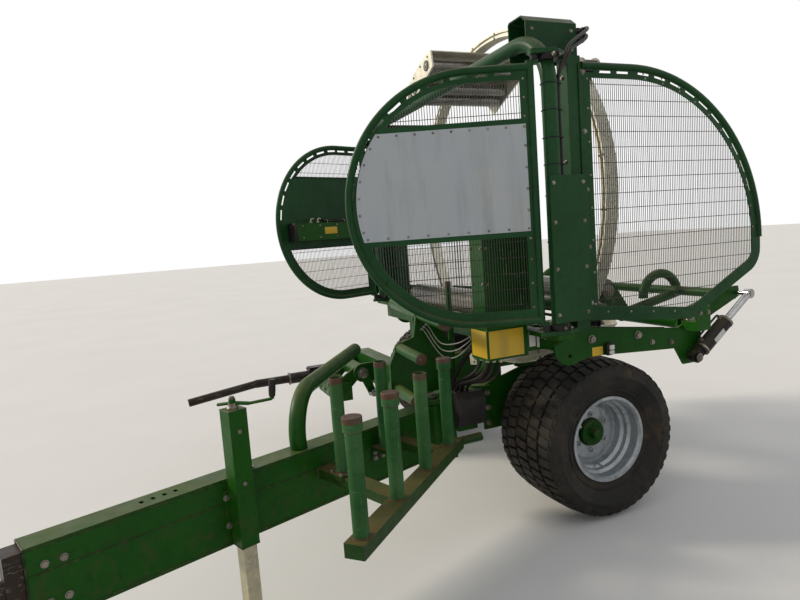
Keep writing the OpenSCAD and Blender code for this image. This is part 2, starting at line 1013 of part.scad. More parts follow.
// Hoses from under the valve housing down to the front cross beam, with the rubber cover at the beam's end
module hoses() {
    color(black)
        in_place() {
            for (i = [0:hose_count - 1])
                hose([852 + 20 * i, -615 + hose_row * (i % 3), valve_low + 14.5],
                     [600 + 15 * i, -675 + hose_row * (i % 3), beam_top + 20.5], 130 + 10 * i);
            translate([0, -556, 0])
                rotate([90, 0, 0])
                    linear_extrude(166)
                        polygon([[700 + clear, 540], [745, 540], [762, 600], [762, 690], [735, 724],
                                 [700 + clear, 724]]);
        }
}

// Hose from p, where it leaves straight down, to q, where it stands upright; sag is its reach at both ends
module hose(p, q, sag) {
    r = hose_d / 2;
    bend = [[p[0], p[1] - 10, p[2] - 1.3 * sag], [q[0] + 20, q[1] - 20, q[2] + 0.8 * sag]];
    points = [for (i = [0:hose_steps]) let(t = i / hose_steps)
        pow(1 - t, 3) * p + 3 * t * pow(1 - t, 2) * bend[0] + 3 * t * t * (1 - t) * bend[1] + pow(t, 3) * q];
    rings = [for (i = [0:hose_steps])
        let(a = points[max(i - 1, 0)], b = points[min(i + 1, hose_steps)],
            along = i == 0 || i == hose_steps ? [0, 0, -1] : (b - a) / norm(b - a),
            side = cross(along, [0, 1, 0]) / norm(cross(along, [0, 1, 0])), out = cross(along, side))
        for (k = [0:hose_sides - 1])
            points[i] + r * cos(360 * k / hose_sides) * side + r * sin(360 * k / hose_sides) * out];
    faces = concat(
        [[for (k = [0:hose_sides - 1]) k]],
        [for (i = [0:hose_steps - 1]) for (k = [0:hose_sides - 1])
            let(a = i * hose_sides + k, b = i * hose_sides + (k + 1) % hose_sides)
            [b, a, a + hose_sides]],
        [for (i = [0:hose_steps - 1]) for (k = [0:hose_sides - 1])
            let(a = i * hose_sides + k, b = i * hose_sides + (k + 1) % hose_sides)
            [b, a + hose_sides, b + hose_sides]],
        [[for (k = [hose_sides - 1:-1:0]) hose_steps * hose_sides + k]]);
    polyhedron(points = rings, faces = faces);
}

// Tubes over the swing pin: [one end, other end, diameter]
front_bars = [[[-188, -679, 1154], [950, -862, 1154], 76], [[488, -935, 975], [870, -971, 975], 60],
    [[406, -955, 748], [818, -993, 748], 60]];

// Tubes ahead of the chassis, with the plate and the post that carry them
module front_tubes() {
    foot = beam_top + 20 + clear;
    color(body_green)
        in_place() {
            for (bar = front_bars)
                rod_between(bar[0], bar[1], bar[2]);
            translate([490, 0, 0])
                rotate([90, 0, 90])
                    linear_extrude(20)
                        polygon([[-600, foot], [-600, 930], [-700, 1079], [-742, 1160], [-826, 1160],
                                 [-850, 1030], [-950, 1000], [-1005, 892], [-1008, 720], [-900, foot]]);
            translate([190, -690, foot])
                cylinder(d = 50, h = 1154 - foot, $fn = 48);
            translate([500, -610, foot])
                cylinder(d = 34, h = 620, $fn = 48);
        }
}

// Drawbar

module drawbar_beam() {
    wall = 10;
    color(body_green)
        in_place()
            on_drawbar() {
                difference() {
                    union() {
                        block([-bar_w / 2, -bar_len, bar_bottom], [bar_w / 2, -40, bar_top]);
                        translate([0, 0, bar_bottom])
                            cylinder(r = 68, h = bar_h, $fn = 64);
                    }
                    block([-bar_w / 2 + wall, -bar_len - 1, bar_bottom + wall],
                          [bar_w / 2 - wall, -160, bar_top - wall]);
                    for (i = [0:3])
                        translate([-12, -1480 - 45 * i, bar_top - wall - 1])
                            cube([24, 16, wall + 2]);
                }
                translate([0, 0, bar_bottom - gap - 30])
                    cylinder(d = pin_d, h = bar_h + 2 * gap + 60, $fn = 64);
            }
}

// Towing eye on the drawbar's front end
module hitch_eye() {
    eye_z = bar_bottom + bar_h / 2;
    inner = bar_w / 2 - 10 - clear;
    color(dark_steel)
        in_place()
            on_drawbar()
                difference() {
                    union() {
                        block([-inner, -bar_len - 60, bar_bottom + 12],
                              [inner, -bar_len + 120, bar_top - 12]);
                        translate([0, -bar_len - 40, eye_z])
                            rotate([90, 0, 0])
                                cylinder(d = 80, h = 120, $fn = 64);
                        translate([0, -bar_len - 200, eye_z - 25])
                            cylinder(d = 110, h = 50, $fn = 64);
                    }
                    translate([0, -bar_len - 200, eye_z - 26])
                        cylinder(d = hitch_bore, h = 52, $fn = 64);
                }
}

jack_x = bar_w / 2 + jack_side / 2 + 12;
jack_y = -1245;
jack_low = 370;
leg_side = jack_side - 20;
leg_gap = 0.5;

module jack_sleeve() {
    top = jack_low + jack_len;
    color(body_green)
        in_place()
            on_drawbar()
                translate([jack_x, jack_y, 0]) {
                    difference() {
                        block([-jack_side / 2, -jack_side / 2, jack_low],
                              [jack_side / 2, jack_side / 2, top]);
                        block([-leg_side / 2 - leg_gap, -leg_side / 2 - leg_gap, jack_low - 1],
                              [leg_side / 2 + leg_gap, leg_side / 2 + leg_gap, top - 10]);
                    }
                    block([-jack_side / 2 - 12 + clear, -60, 430], [-jack_side / 2 + 1, 60, 600]);
                    translate([0, 0, top])
                        cylinder(d = 28, h = 42, $fn = 32);
                    jack_crank(top + 24);
                }
}

// Corners of the crank from its free tip to its grip, as [x, y, z above the shaft, diameter to the next]
crank_points = [[-70, -30, -12, 14], [0, 0, 0, 16], [40, 55, -9, 13], [95, 130, 1, 18], [100, 136, 80, 0]];

// Bent crank on top of the jack
module jack_crank(z) {
    for (i = [0:3]) {
        p = crank_points[i];
        q = crank_points[i + 1];
        rod_between([p[0], p[1], z + p[2]], [q[0], q[1], z + q[2]], p[3]);
    }
}

module jack_leg() {
    color(silver)
        in_place()
            on_drawbar()
                translate([jack_x, jack_y, 0]) {
                    block([-leg_side / 2, -leg_side / 2, 10], [leg_side / 2, leg_side / 2, jack_low + 200]);
                    cylinder(d = foot_d, h = 12, $fn = 64);
                }
}

// Outer rail in the drawbar's frame, from its rear spindle outwards
rail_rear = [360, -247];
rail_dir = [sin(rail_splay), -cos(rail_splay)];
inner_spindles = [[207, -792], [127, -460]];

module film_rack() {
    color(body_green)
        in_place()
            on_drawbar() {
                translate([rail_rear[0], rail_rear[1], rack_z - rail_h])
                    rotate([0, 0, rail_splay])
                        block([-rail_w / 2, -3 * spindle_gap - 60, 0], [rail_w / 2, 110, rail_h]);
                block([bar_w / 2 + clear, -340, rack_z - rail_h], [rail_rear[0] + 20, -270, rack_z - 10]);
                block([bar_w / 2 + clear, -830, rack_z - rail_h], [rail_rear[0] + 215, -750, rack_z - 10]);
                block([bar_w / 2 + clear, -500, rack_z - 20], [175, -420, rack_z]);
                block([bar_w / 2 + clear, -500, 480], [bar_w / 2 + 10, -420, rack_z]);
                block([160, -840, rack_z - 20], [255, -745, rack_z]);
                // stay behind the rail
                rod_between([rail_rear[0] - 40, rail_rear[1] + 95, rack_z - 27],
                            [rail_rear[0] + 5, rail_rear[1] + 240, rack_z - 27], 45);
            }
}

// Pipes that hold the spare film rolls: four on the rail and two beside the drawbar
module film_spindles() {
    color(body_green)
        in_place()
            on_drawbar() {
                for (i = [0:3])
                    spindle(rail_rear + i * spindle_gap * rail_dir, i != 1);
                for (place = inner_spindles)
                    spindle(place, false);
            }
}

module spindle(place, capped) {
    translate([place[0], place[1], rack_z + clear])
        difference() {
            union() {
                cylinder(d = spindle_d, h = spindle_h, $fn = 48);
                if (capped)
                    translate([0, 0, spindle_h - 50])
                        cylinder(d = spindle_d + 12, h = 50, $fn = 48);
            }
            if (!capped)
                translate([0, 0, 20])
                    cylinder(d = spindle_d - 8, h = spindle_h, $fn = 48);
        }
}

// Big curved tube beside the drawbar that guides the bale
hoop_foot = [-bar_w / 2 - clear, -785];
hoop_turn = 36.5;
hoop_bend = 200;

module bale_hoop() {
    r = hoop_bend;
    low = 500;
    color(body_green)
        in_place()
            on_drawbar()
                difference() {
                    translate([hoop_foot[0] - 60, hoop_foot[1] + 60, 0])
                        rotate([0, 0, hoop_turn])
                            translate([0, 0, low + r]) {
                                translate([0, 0, -r])
                                    rotate([-90, 0, 0])
                                        cylinder(d = hoop_d, h = 60, $fn = 48);
                                rotate([0, -90, 0])
                                    rotate([0, 0, 180])
                                        rotate_extrude(angle = 180, $fn = 96)
                                            translate([r, 0])
                                                circle(d = hoop_d, $fn = 48);
                                translate([0, 0, r])
                                    rotate([-90, 0, 0])
                                        cylinder(d = hoop_d, h = 900, $fn = 48);
                            }
                    block([-bar_w / 2 - clear, -bar_len, bar_bottom - 50],
                          [bar_w / 2 + clear, -40, bar_top + clear]);
                }
}

// Loader

sleeve_y = -940;
sleeve_z = 470;

module loader_arm() {
    color(body_green)
        in_place() {
            translate([-1110, loader_y, loader_z])
                rotate([0, 90, 0])
                    cylinder(d = loader_pivot_d, h = 486, $fn = 64);
            translate([-1060, loader_y, loader_z])
                rotate([0, 90, 0])
                    cylinder(d = 110, h = 380, $fn = 64);
            difference() {
                union() {
                    for (x = [-1050, -720])
                        translate([x, 0, 0])
                            loader_cheek();
                    block([-1180, sleeve_y - 65, sleeve_z - 70], [-680, sleeve_y + 65, sleeve_z + 70]);
                }
                block([-1181, sleeve_y - 55, sleeve_z - 60], [-700, sleeve_y + 55, sleeve_z + 60]);
            }
            translate([loader_ram_x - ram_eye / 2 - 29, 0, 0])
                rotate([90, 0, 90])
                    loader_lever();
        }
}

// Plate between the pivot tube and the sleeve
module loader_cheek() {
    rotate([90, 0, 90])
        linear_extrude(20)
            polygon([[loader_y - 20, loader_z - 50], [loader_y + 30, loader_z + 45],
                     [loader_y - 30, loader_z + 50], [sleeve_y - 60, sleeve_z + 70],
                     [sleeve_y - 60, sleeve_z - 30], [sleeve_y, sleeve_z - 40]]);
}

// Lever under the pivot tube that the ram turns, drawn as [y, z]
module loader_lever() {
    linear_extrude(18)
        polygon([[loader_y - 40, loader_z], [loader_y + 40, loader_z],
                 [loader_ram_eye[0] + 30, loader_ram_eye[1]],
                 [loader_ram_eye[0] + 20, loader_ram_eye[1] - 28],
                 [loader_ram_eye[0] - 20, loader_ram_eye[1] - 28],
                 [loader_ram_eye[0] - 30, loader_ram_eye[1]]]);
}

module loader_tine() {
    head = -1420;
    bend_y = -1480;
    color(dark_steel)
        in_place() {
            block([head, sleeve_y - 55 + clear, sleeve_z - 60 + clear],
                  [-860, sleeve_y + 55 - clear, sleeve_z + 60 - clear]);
            block([head - 40, sleeve_y - 90, sleeve_z - 75], [head + 50, sleeve_y + 70, sleeve_z + 75]);
            translate([head, sleeve_y - 85, sleeve_z])
                rotate([90, 0, 0])
                    cylinder(d = tine_d + 22, h = 180, $fn = 48);
            rod_between([head, sleeve_y - 250, sleeve_z], [head, bend_y, sleeve_z], tine_d);
            rod_between([head - 1, bend_y + 20, sleeve_z + 2],
                        [head + 40, bend_y - tine_len * 0.6, sleeve_z - 60], tine_d - 6);
        }
}

loader_pivot_d = 60;
ram_pin = 25;
ram_eye = 36;
loader_ram_x = -598;
loader_ram_foot = [-250, 430];
loader_ram_eye = [loader_y + 55, loader_z - 150];

// A ram between two points [y, z] in a plane of constant x: its barrel, share of the length long
module ram_barrel(x, foot, eye, d, share) {
    v = eye - foot;
    length = norm(v);
    neck = d * 0.75;
    translate([x, foot[0], foot[1]])
        rotate([atan2(v[1], v[0]), 0, 0])
            difference() {
                union() {
                    translate([0, neck, 0])
                        rotate([-90, 0, 0])
                            cylinder(d = d, h = length * share - neck, $fn = 64);
                    rotate([0, 90, 0])
                        cylinder(d = d * 0.8, h = ram_eye, center = true, $fn = 48);
                    block([-ram_eye / 2, 0, -d * 0.3], [ram_eye / 2, neck + 1, d * 0.3]);
                }
                translate([0, neck + 8, 0])
                    rotate([-90, 0, 0])
                        cylinder(d = rod_d + 1, h = length, $fn = 48);
                rotate([0, 90, 0])
                    cylinder(d = ram_pin + 2 * clear, h = 2 * d, center = true, $fn = 48);
            }
}

// The rod of the same ram, from a start inside the barrel to its eye, whose pin reaches x = pin_to
module ram_rod(x, foot, eye, start, pin_to) {
    v = eye - foot;
    length = norm(v);
    side = pin_to < x ? -1 : 1;
    translate([x, foot[0], foot[1]])
        rotate([atan2(v[1], v[0]), 0, 0]) {
            translate([0, start, 0])
                rotate([-90, 0, 0])
                    cylinder(d = rod_d, h = length - start, $fn = 48);
            translate([0, length, 0])
                rotate([0, 90, 0])
                    cylinder(d = rod_d + 16, h = ram_eye, center = true, $fn = 48);
            translate([0, length, 0])
                rotate([0, side * 90, 0])
                    translate([0, 0, -ram_eye / 2 - 6])
                        cylinder(d = ram_pin, h = abs(pin_to - x) + ram_eye / 2 + 6, $fn = 48);
        }
}

module loader_ram_barrel() {
    color(black)
        in_place()
            ram_barrel(loader_ram_x, loader_ram_foot, loader_ram_eye, 62, 0.75);
}

module loader_ram_rod() {
    color(silver)
        in_place()
            ram_rod(loader_ram_x, loader_ram_foot, loader_ram_eye, 60, loader_ram_x - ram_eye / 2 - 10.7);
}

// Side plates over the wheels, and the tipping table between their rear ends

plate_t = 12;
table_ram_x = plate_x + plate_t / 2 + ram_d / 2 + 6;
table_foot = [600, 805];
table_eye = [1030, 1120];
table_pin_d = 50;
table_lever = plate_x - plate_t / 2 - 30;

module side_plates() {
    inner = plate_x - plate_t / 2;
    color(body_green)
        in_place()
            both_sides() {
                translate([inner, 0, 0])
                    rotate([90, 0, 90])
                        linear_extrude(plate_t)
                            side_outline();
                // pins of the table and of its ram
                translate([inner - 50, table_y, table_z])
                    rotate([0, 90, 0])
                        cylinder(d = table_pin_d, h = 55, $fn = 64);
                translate([inner, table_foot[0], table_foot[1]])
                    rotate([0, 90, 0])
                        cylinder(d = ram_pin, h = table_ram_x + ram_eye / 2 + 8 - inner, $fn = 48);
                // foot on the sill, and the link to the rear guard
                block([932, -sill_back + clear, sill_z], [inner + 1, -sill_back + 60, sill_top - 30]);
                block([inner + 2, 560, table_z - 40], [post_web - 12, 610, table_z + 10]);
                block([post_web - 12, 560, table_z - 40], [post_web, 660, 1095]);
            }
}

// Outline of a side plate as [distance behind the axle, height]
module side_outline() {
    front = [-sill_back + 100 + clear, 970];
    difference() {
        union() {
            translate(front)
                circle(r = 100, $fn = 64);
            polygon([[front[0], 1070], [520, 975], [700, 1040], [700, 935], [640, 760], [560, 760],
                     [500, 860], [270, 875], [-90, 900], [front[0], 870]]);
        }
        for (z = [front[1] - 52, front[1] + 52])
            translate([front[0] - 5, z])
                circle(r = 12, $fn = 32);
    }
}

module table_frame() {
    bracket = roller_len / 2 + 8;
    lever = table_lever;
    color(body_green)
        in_place() {
            difference() {
                union() {
                    translate([0, table_y, table_z])
                        rotate([0, 90, 0])
                            cylinder(d = 100, h = 2 * lever, center = true, $fn = 64);
                    both_sides()
                        translate([lever - 16, 0, 0])
                            rotate([90, 0, 90])
                                linear_extrude(16)
                                    polygon([[table_y - 60, table_z - 50], [table_y + 40, table_z - 60],
                                             [table_eye[0] + 40, table_eye[1] - 20],
                                             [table_eye[0] + 30, table_eye[1] + 40],
                                             [table_eye[0] - 30, table_eye[1] + 40],
                                             [table_y - 40, table_z + 60]]);
                }
                both_sides()
                    translate([lever - 40, table_y, table_z])
                        rotate([0, 90, 0])
                            cylinder(d = table_pin_d + 2 * clear, h = 60, $fn = 64);
            }
            both_sides() {
                table_roller_bracket(bracket);
                rod_between([560, table_y, table_z], [560, 1110, 1095], 60);
                table_hoop();
            }
            translate([0, table_eye[0], table_eye[1] - 10])
                rotate([0, 90, 0])
                    cylinder(d = 60, h = 2 * lever - 10, center = true, $fn = 64);
        }
}

// Half-round guide tube on the table's rail
module table_hoop() {
    r = 150;
    translate([560, 940, 1080])
        rotate([90, 0, 90])
            rotate_extrude(angle = 180, $fn = 96)
                translate([r, 0])
                    circle(d = 60, $fn = 48);
}

module table_roller_bracket(x) {
    difference() {
        translate([x, 0, 0])
            rotate([90, 0, 90])
                linear_extrude(16)
                    polygon([[table_y - 50, table_z - 20], [table_y + 45, table_z + 20],
                             [rear_roller_y + 50, roller_z + 45], [rear_roller_y - 30, roller_z + 50],
                             [rear_roller_y - 52, roller_z + 10], [rear_roller_y - 40, roller_z - 50]]);
        translate([x - 1, rear_roller_y, roller_z])
            rotate([0, 90, 0])
                cylinder(d = 40 + 2 * clear, h = 18, $fn = 48);
    }
}

module table_ram_barrels() {
    color(black)
        in_place()
            for (side = [-1, 1])
                ram_barrel(side * table_ram_x, table_foot, table_eye, ram_d, 0.56);
}

module table_ram_rods() {
    color(silver)
        in_place()
            for (side = [-1, 1])
                ram_rod(side * table_ram_x, table_foot, table_eye, 262, side * (table_lever + clear));
}

chassis_frame();
axle_beam();
front_arch();
drive_box();
drive_motor();
ring_guides();
roller_stand();
post_panels();
rear_guard_frames();
rear_guard_meshes();
valve_box();
hoses();
front_tubes();
side_plates();
tyre_left();
rim_left();
hub_left();
tyre_right();
rim_right();
hub_right();
drawbar_beam();
hitch_eye();
jack_sleeve();
jack_leg();
film_rack();
film_spindles();
bale_hoop();
wrapping_ring();
dispenser_frames();
dispenser_rollers();
roller_front();
roller_rear();
guard_left_frame();
guard_left_mesh();
guard_left_panel();
guard_right_frame();
guard_right_mesh();
guard_right_box();
loader_arm();
loader_tine();
table_frame();
table_ram_barrels();
table_ram_rods();
loader_ram_barrel();
loader_ram_rod();
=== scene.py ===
"""Looks of the trailed round-bale wrapper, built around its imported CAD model.

Shapes are drawn in millimetres in the machine's own frame: x from its centre line towards its left
side, y from its axle towards the rear, z up from the ground. Each piece is turned into metres of the
row frame when it is made.
"""

import logging
import math
import random
from collections.abc import Callable, Iterable, Sequence
from dataclasses import dataclass
from enum import Enum

import bmesh
import bpy
from mathutils import Matrix, Vector


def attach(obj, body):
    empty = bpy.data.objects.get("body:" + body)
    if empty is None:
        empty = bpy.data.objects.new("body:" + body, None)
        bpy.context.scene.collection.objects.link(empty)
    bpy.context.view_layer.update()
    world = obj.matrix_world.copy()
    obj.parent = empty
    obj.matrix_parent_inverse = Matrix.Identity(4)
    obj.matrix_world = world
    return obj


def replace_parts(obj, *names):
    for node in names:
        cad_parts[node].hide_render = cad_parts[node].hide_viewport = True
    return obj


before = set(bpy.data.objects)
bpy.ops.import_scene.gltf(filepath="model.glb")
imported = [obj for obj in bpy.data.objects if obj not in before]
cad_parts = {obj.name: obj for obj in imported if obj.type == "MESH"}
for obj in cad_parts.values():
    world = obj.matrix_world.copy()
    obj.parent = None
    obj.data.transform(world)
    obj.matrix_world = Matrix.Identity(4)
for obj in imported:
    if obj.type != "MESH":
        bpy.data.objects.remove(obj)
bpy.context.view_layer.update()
LOG = logging.getLogger("bale_wrapper")

Point = tuple[float, float, float]
Flat = tuple[float, float]
Colour = tuple[float, float, float]
Socket = bpy.types.NodeSocket

# Where the machine's frame, the drawbar's frame and the guards' frames stand in the row frame
ROW_SHIFT = (-0.127, 0.908, 0.0)
SWING_PIN = (565.0, -800.0)
DRAWBAR_TURN = math.radians(20.3)
GUARD_HINGE = (1195.0, -440.0)
GUARD_TURN = math.radians(-22)
MACHINE = Matrix.Translation(ROW_SHIFT) @ Matrix.Scale(0.001, 4)
DRAWBAR = MACHINE @ Matrix.Translation((*SWING_PIN, 0)) @ Matrix.Rotation(DRAWBAR_TURN, 4, "Z")
MIRROR = Matrix.Scale(-1, 4, (1, 0, 0))
GUARD = Matrix.Translation((*GUARD_HINGE, 0)) @ Matrix.Rotation(GUARD_TURN, 4, "Z")
LEFT_GUARD = MACHINE @ GUARD
RIGHT_GUARD = MACHINE @ MIRROR @ GUARD

# Axes that lie across the machine, as [y, z], and the outer face of the rollers' plates
FRONT_ROLLER = (-320.0, 1155.0)
REAR_ROLLER = (490.0, 1155.0)
BEARING_FACE = 574.0
TABLE_PIVOT = (620.0, 1000.0)
TABLE_RAM_FOOT = (600.0, 805.0)
LOADER_PIVOT = (-790.0, 600.0)


def linear(red: int, green: int, blue: int) -> Colour:
    """A colour as the shader takes it.

    Args:
        red: Red as seen on screen, 0 to 255.
        green: Green as seen on screen.
        blue: Blue as seen on screen.

    Returns:
        The three parts in linear light.
    """
    shares = (part / 255 for part in (red, green, blue))
    return tuple(((s + 0.055) / 1.055) ** 2.4 if s > 0.04 else s / 12.92 for s in shares)


def shade(colour: Colour, share: float) -> Colour:
    """The colour, darkened to a share of its light."""
    return tuple(part * share for part in colour)


class Axis(Enum):
    """The way that a turned piece or a bolt points."""

    X = (1.0, 0.0, 0.0)
    Y = (0.0, 1.0, 0.0)
    Z = (0.0, 0.0, 1.0)
    RIGHT = (-1.0, 0.0, 0.0)
    FRONT = (0.0, -1.0, 0.0)
    DOWN = (0.0, 0.0, -1.0)

    @staticmethod
    def outward(side: int) -> "Axis":
        """The way out of the machine on its left side, 1, or its right side, -1."""
        return Axis.X if side > 0 else Axis.RIGHT

    def lay(self, flat: Flat, along: float) -> Point:
        """Lays a point of a flat outline across this axis.

        Args:
            flat: The two numbers besides the axis.
            along: The number along the axis.

        Returns:
            The point.
        """
        numbers = [*flat]
        numbers.insert([abs(part) for part in self.value].index(1.0), along)
        return tuple(numbers)


class Join(Enum):
    """How two values of a material become one."""

    PLUS = "ADD"
    TIMES = "MULTIPLY"
    LARGER = "MAXIMUM"


class Recipe:
    """The node tree of one material, with short calls that add a step and return its output."""

    def __init__(self, name: str) -> None:
        """Starts a material with its shader.

        Args:
            name: The material's name.
        """
        self.material = bpy.data.materials.new(name)
        self.material.use_nodes = True
        self.tree = self.material.node_tree
        self.shader = self.tree.nodes["Principled BSDF"]
        self.place = self.node("ShaderNodeTexCoord").outputs["Object"]

    def node(self, kind: str, **settings: object) -> bpy.types.Node:
        """Adds one node.

        Args:
            kind: Blender's name of the node's type.
            settings: Its settings by name.

        Returns:
            The node.
        """
        made = self.tree.nodes.new(kind)
        for name, value in settings.items():
            setattr(made, name, value)
        return made

    def feed(self, socket: Socket, value: "Socket | float | Colour") -> None:
        """Gives an input either a link or a plain value.

        Args:
            socket: The input.
            value: Another node's output, a number or a colour.
        """
        if isinstance(value, bpy.types.NodeSocket):
            self.tree.links.new(value, socket)
        elif isinstance(value, tuple) and len(socket.default_value) == 4:
            socket.default_value = (*value, 1.0)
        else:
            socket.default_value = value

    def texture(self, kind: str, scale: float, stretch: Point) -> bpy.types.Node:
        """Adds a pattern that lies in the object's own space.

        Args:
            kind: Blender's name of the pattern's node.
            scale: How many of its marks fit in a metre.
            stretch: How much denser it is along each axis.

        Returns:
            The pattern's node.
        """
        mapping = self.node("ShaderNodeMapping")
        mapping.inputs["Scale"].default_value = stretch
        self.feed(mapping.inputs["Vector"], self.place)
        made = self.node(kind)
        self.feed(made.inputs["Vector"], mapping.outputs[0])
        made.inputs["Scale"].default_value = scale
        return made

    def noise(self, scale: float, detail: float = 4.0, stretch: Point = (1, 1, 1)) -> Socket:
        """Cloudy pattern.

        Args:
            scale: How many clouds fit in a metre.
            detail: How fine its smaller clouds go.
            stretch: How much denser it is along each axis.

        Returns:
            Its value from 0 to 1.
        """
        made = self.texture("ShaderNodeTexNoise", scale, stretch)
        made.inputs["Detail"].default_value = detail
        made.inputs["Roughness"].default_value = 0.6
        return made.outputs["Fac"]

    def cells(self, scale: float) -> Socket:
        """Flaky pattern, as the spangle of zinc, with that many flakes in a metre."""
        return self.texture("ShaderNodeTexVoronoi", scale, (1, 1, 1)).outputs["Color"]

    def band(self, value: Socket, low: float, high: float, start: float = 0.0, end: float = 1.0) -> Socket:
        """Stretches a part of a value's range and clamps the rest.

        Args:
            value: The value.
            low: Where the part starts.
            high: Where it ends.
            start: What its start becomes.
            end: What its end becomes.

        Returns:
            The stretched value.
        """
        made = self.node("ShaderNodeMapRange")
        self.feed(made.inputs["Value"], value)
        for name, number in zip(("From Min", "From Max", "To Min", "To Max"), (low, high, start, end)):
            made.inputs[name].default_value = number
        return made.outputs["Result"]

    def join(self, how: Join, a: "Socket | float", b: "Socket | float") -> Socket:
        """Makes one value of two.

        Args:
            how: The way that they are joined.
            a: First value.
            b: Second value.

        Returns:
            The result, clamped to 0 to 1.
        """
        made = self.node("ShaderNodeMath", operation=how.value, use_clamp=True)
        self.feed(made.inputs[0], a)
        self.feed(made.inputs[1], b)
        return made.outputs[0]

    def blend(self, a: "Socket | Colour", b: "Socket | Colour", share: "Socket | float") -> Socket:
        """Mixes two colours.

        Args:
            a: First colour.
            b: Second colour.
            share: The second one's share.

        Returns:
            The mixed colour.
        """
        made = self.node("ShaderNodeMix", data_type="RGBA")
        self.feed(made.inputs[0], share)
        self.feed(made.inputs[6], a)
        self.feed(made.inputs[7], b)
        return made.outputs[2]

    def height(self) -> Socket:
        """Height above the ground.

        Returns:
            The height at rest, in metres.
        """
        made = self.node("ShaderNodeSeparateXYZ")
        self.feed(made.inputs[0], self.place)
        return made.outputs["Z"]

    def upward(self) -> Socket:
        """How far a face looks up.

        Returns:
            1 where it looks up, 0 where it stands upright and -1 where it looks down.
        """
        normal = self.node("ShaderNodeNewGeometry").outputs["Normal"]
        made = self.node("ShaderNodeSeparateXYZ")
        self.feed(made.inputs[0], normal)
        return made.outputs["Z"]

    def edges(self, reach: float) -> Socket:
        """Marks the outer edges of plates and boxes.

        Args:
            reach: Width of an edge's mark in metres.

        Returns:
            0 on a face and up to 1 on an edge.
        """
        rounded = self.node("ShaderNodeBevel", samples=3)
        rounded.inputs["Radius"].default_value = reach
        plain = self.node("ShaderNodeNewGeometry").outputs["Normal"]
        made = self.node("ShaderNodeVectorMath", operation="DOT_PRODUCT")
        self.feed(made.inputs[0], rounded.outputs[0])
        self.feed(made.inputs[1], plain)
        return self.band(made.outputs["Value"], 0.985, 0.8)

    def relief(self, height: Socket, depth: float, before: "Socket | None" = None) -> Socket:
        """Raises the surface by a pattern.

        Args:
            height: The pattern.
            depth: Its depth in metres.
            before: A relief that it is added to.

        Returns:
            The bent normal.
        """
        made = self.node("ShaderNodeBump")
        made.inputs["Distance"].default_value = depth
        self.feed(made.inputs["Height"], height)
        if before:
            self.feed(made.inputs["Normal"], before)
        return made.outputs[0]

    def finish(self, colour: Socket, roughness: "Socket | float", normal: "Socket | None" = None,
               metal: float = 0.0, coat: float = 0.0, shine: float = 0.5) -> bpy.types.Material:
        """Wires the shader.

        Args:
            colour: Its colour.
            roughness: Its roughness.
            normal: Its bent normal.
            metal: 1 for bare metal.
            coat: Share of clear coat.
            shine: How strongly it mirrors when it isn't metal.

        Returns:
            The finished material.
        """
        self.feed(self.shader.inputs["Base Color"], colour)
        self.feed(self.shader.inputs["Roughness"], roughness)
        if normal:
            self.feed(self.shader.inputs["Normal"], normal)
        self.shader.inputs["Metallic"].default_value = metal
        self.shader.inputs["Coat Weight"].default_value = coat
        self.shader.inputs["Coat Roughness"].default_value = 0.25
        self.shader.inputs["Specular IOR Level"].default_value = shine
        return self.material


@dataclass(frozen=True)
class Paint:
    """Sprayed paint that has faded, chipped at its edges and gathered dust and splashed mud."""

    name: str
    base: Colour
    faded: Colour
    bare: Colour = linear(120, 104, 84)
    dust: Colour = linear(140, 124, 92)
    mud: Colour = linear(72, 58, 40)
    chips: float = 0.5
    scratches: float = 0.25
    dustiness: float = 0.35
    splash_top: float = 0.75
    roughness: float = 0.34
    rust: Colour = linear(84, 48, 26)
    spot: Colour = linear(78, 46, 26)

    def make(self) -> bpy.types.Material:
        """Builds the paint's material.

        Returns:
            The material.
        """
        r = Recipe(self.name)
        colour = r.blend(self.base, self.faded, r.band(r.noise(1.7, 6), 0.35, 0.72))
        colour = r.blend(colour, shade(self.base, 0.62), r.band(r.noise(26, 3), 0.52, 0.78, 0, 0.55))
        # long scratches, mostly upright and lying
        marks = r.band(r.noise(9, 5, (1.2, 1.2, 26)), 0.66, 0.71, 0, self.scratches)
        upright = r.band(r.noise(8, 5, (22, 22, 1.0)), 0.67, 0.72, 0, self.scratches)
        scratched = tuple(min(1, c * 1.7 + 0.03) for c in self.faded)
        colour = r.blend(colour, scratched, r.join(Join.LARGER, marks, upright))
        # chips on the edges down to primer and brown rust
        edge = r.join(Join.TIMES, r.edges(0.006), r.band(r.noise(34, 6), 0.47, 0.6))
        chipped = r.join(Join.TIMES, edge, self.chips)
        under = r.blend(self.bare, self.rust, r.band(r.noise(60, 4), 0.4, 0.6))
        colour = r.blend(colour, under, chipped)
        colour = r.blend(colour, self.spot, r.band(r.noise(48, 6), 0.69, 0.74, 0, self.chips))
        # dust that lies on what faces up, and mud that the wheels have thrown
        lies = r.join(Join.TIMES, r.band(r.upward(), 0.25, 0.95), r.band(r.noise(7, 6), 0.3, 0.75, 0.25, 1))
        dusty = r.join(Join.TIMES, lies, self.dustiness)
        colour = r.blend(colour, self.dust, dusty)
        low = r.band(r.height(), self.splash_top, 0.2)
        splash = r.join(Join.TIMES, low, r.band(r.noise(19, 7), 0.5, 0.68, 0, 0.75))
        colour = r.blend(colour, self.mud, splash)
        clean = r.band(r.noise(15, 4), 0.3, 0.7, self.roughness - 0.08, self.roughness + 0.12)
        dulled = r.join(Join.TIMES, r.join(Join.LARGER, dusty, splash), 0.5)
        normal = r.relief(r.noise(140, 2), 0.0004)
        normal = r.relief(r.join(Join.LARGER, splash, chipped), 0.0012, normal)
        return r.finish(colour, r.join(Join.PLUS, clean, dulled), normal, shine=0.14)


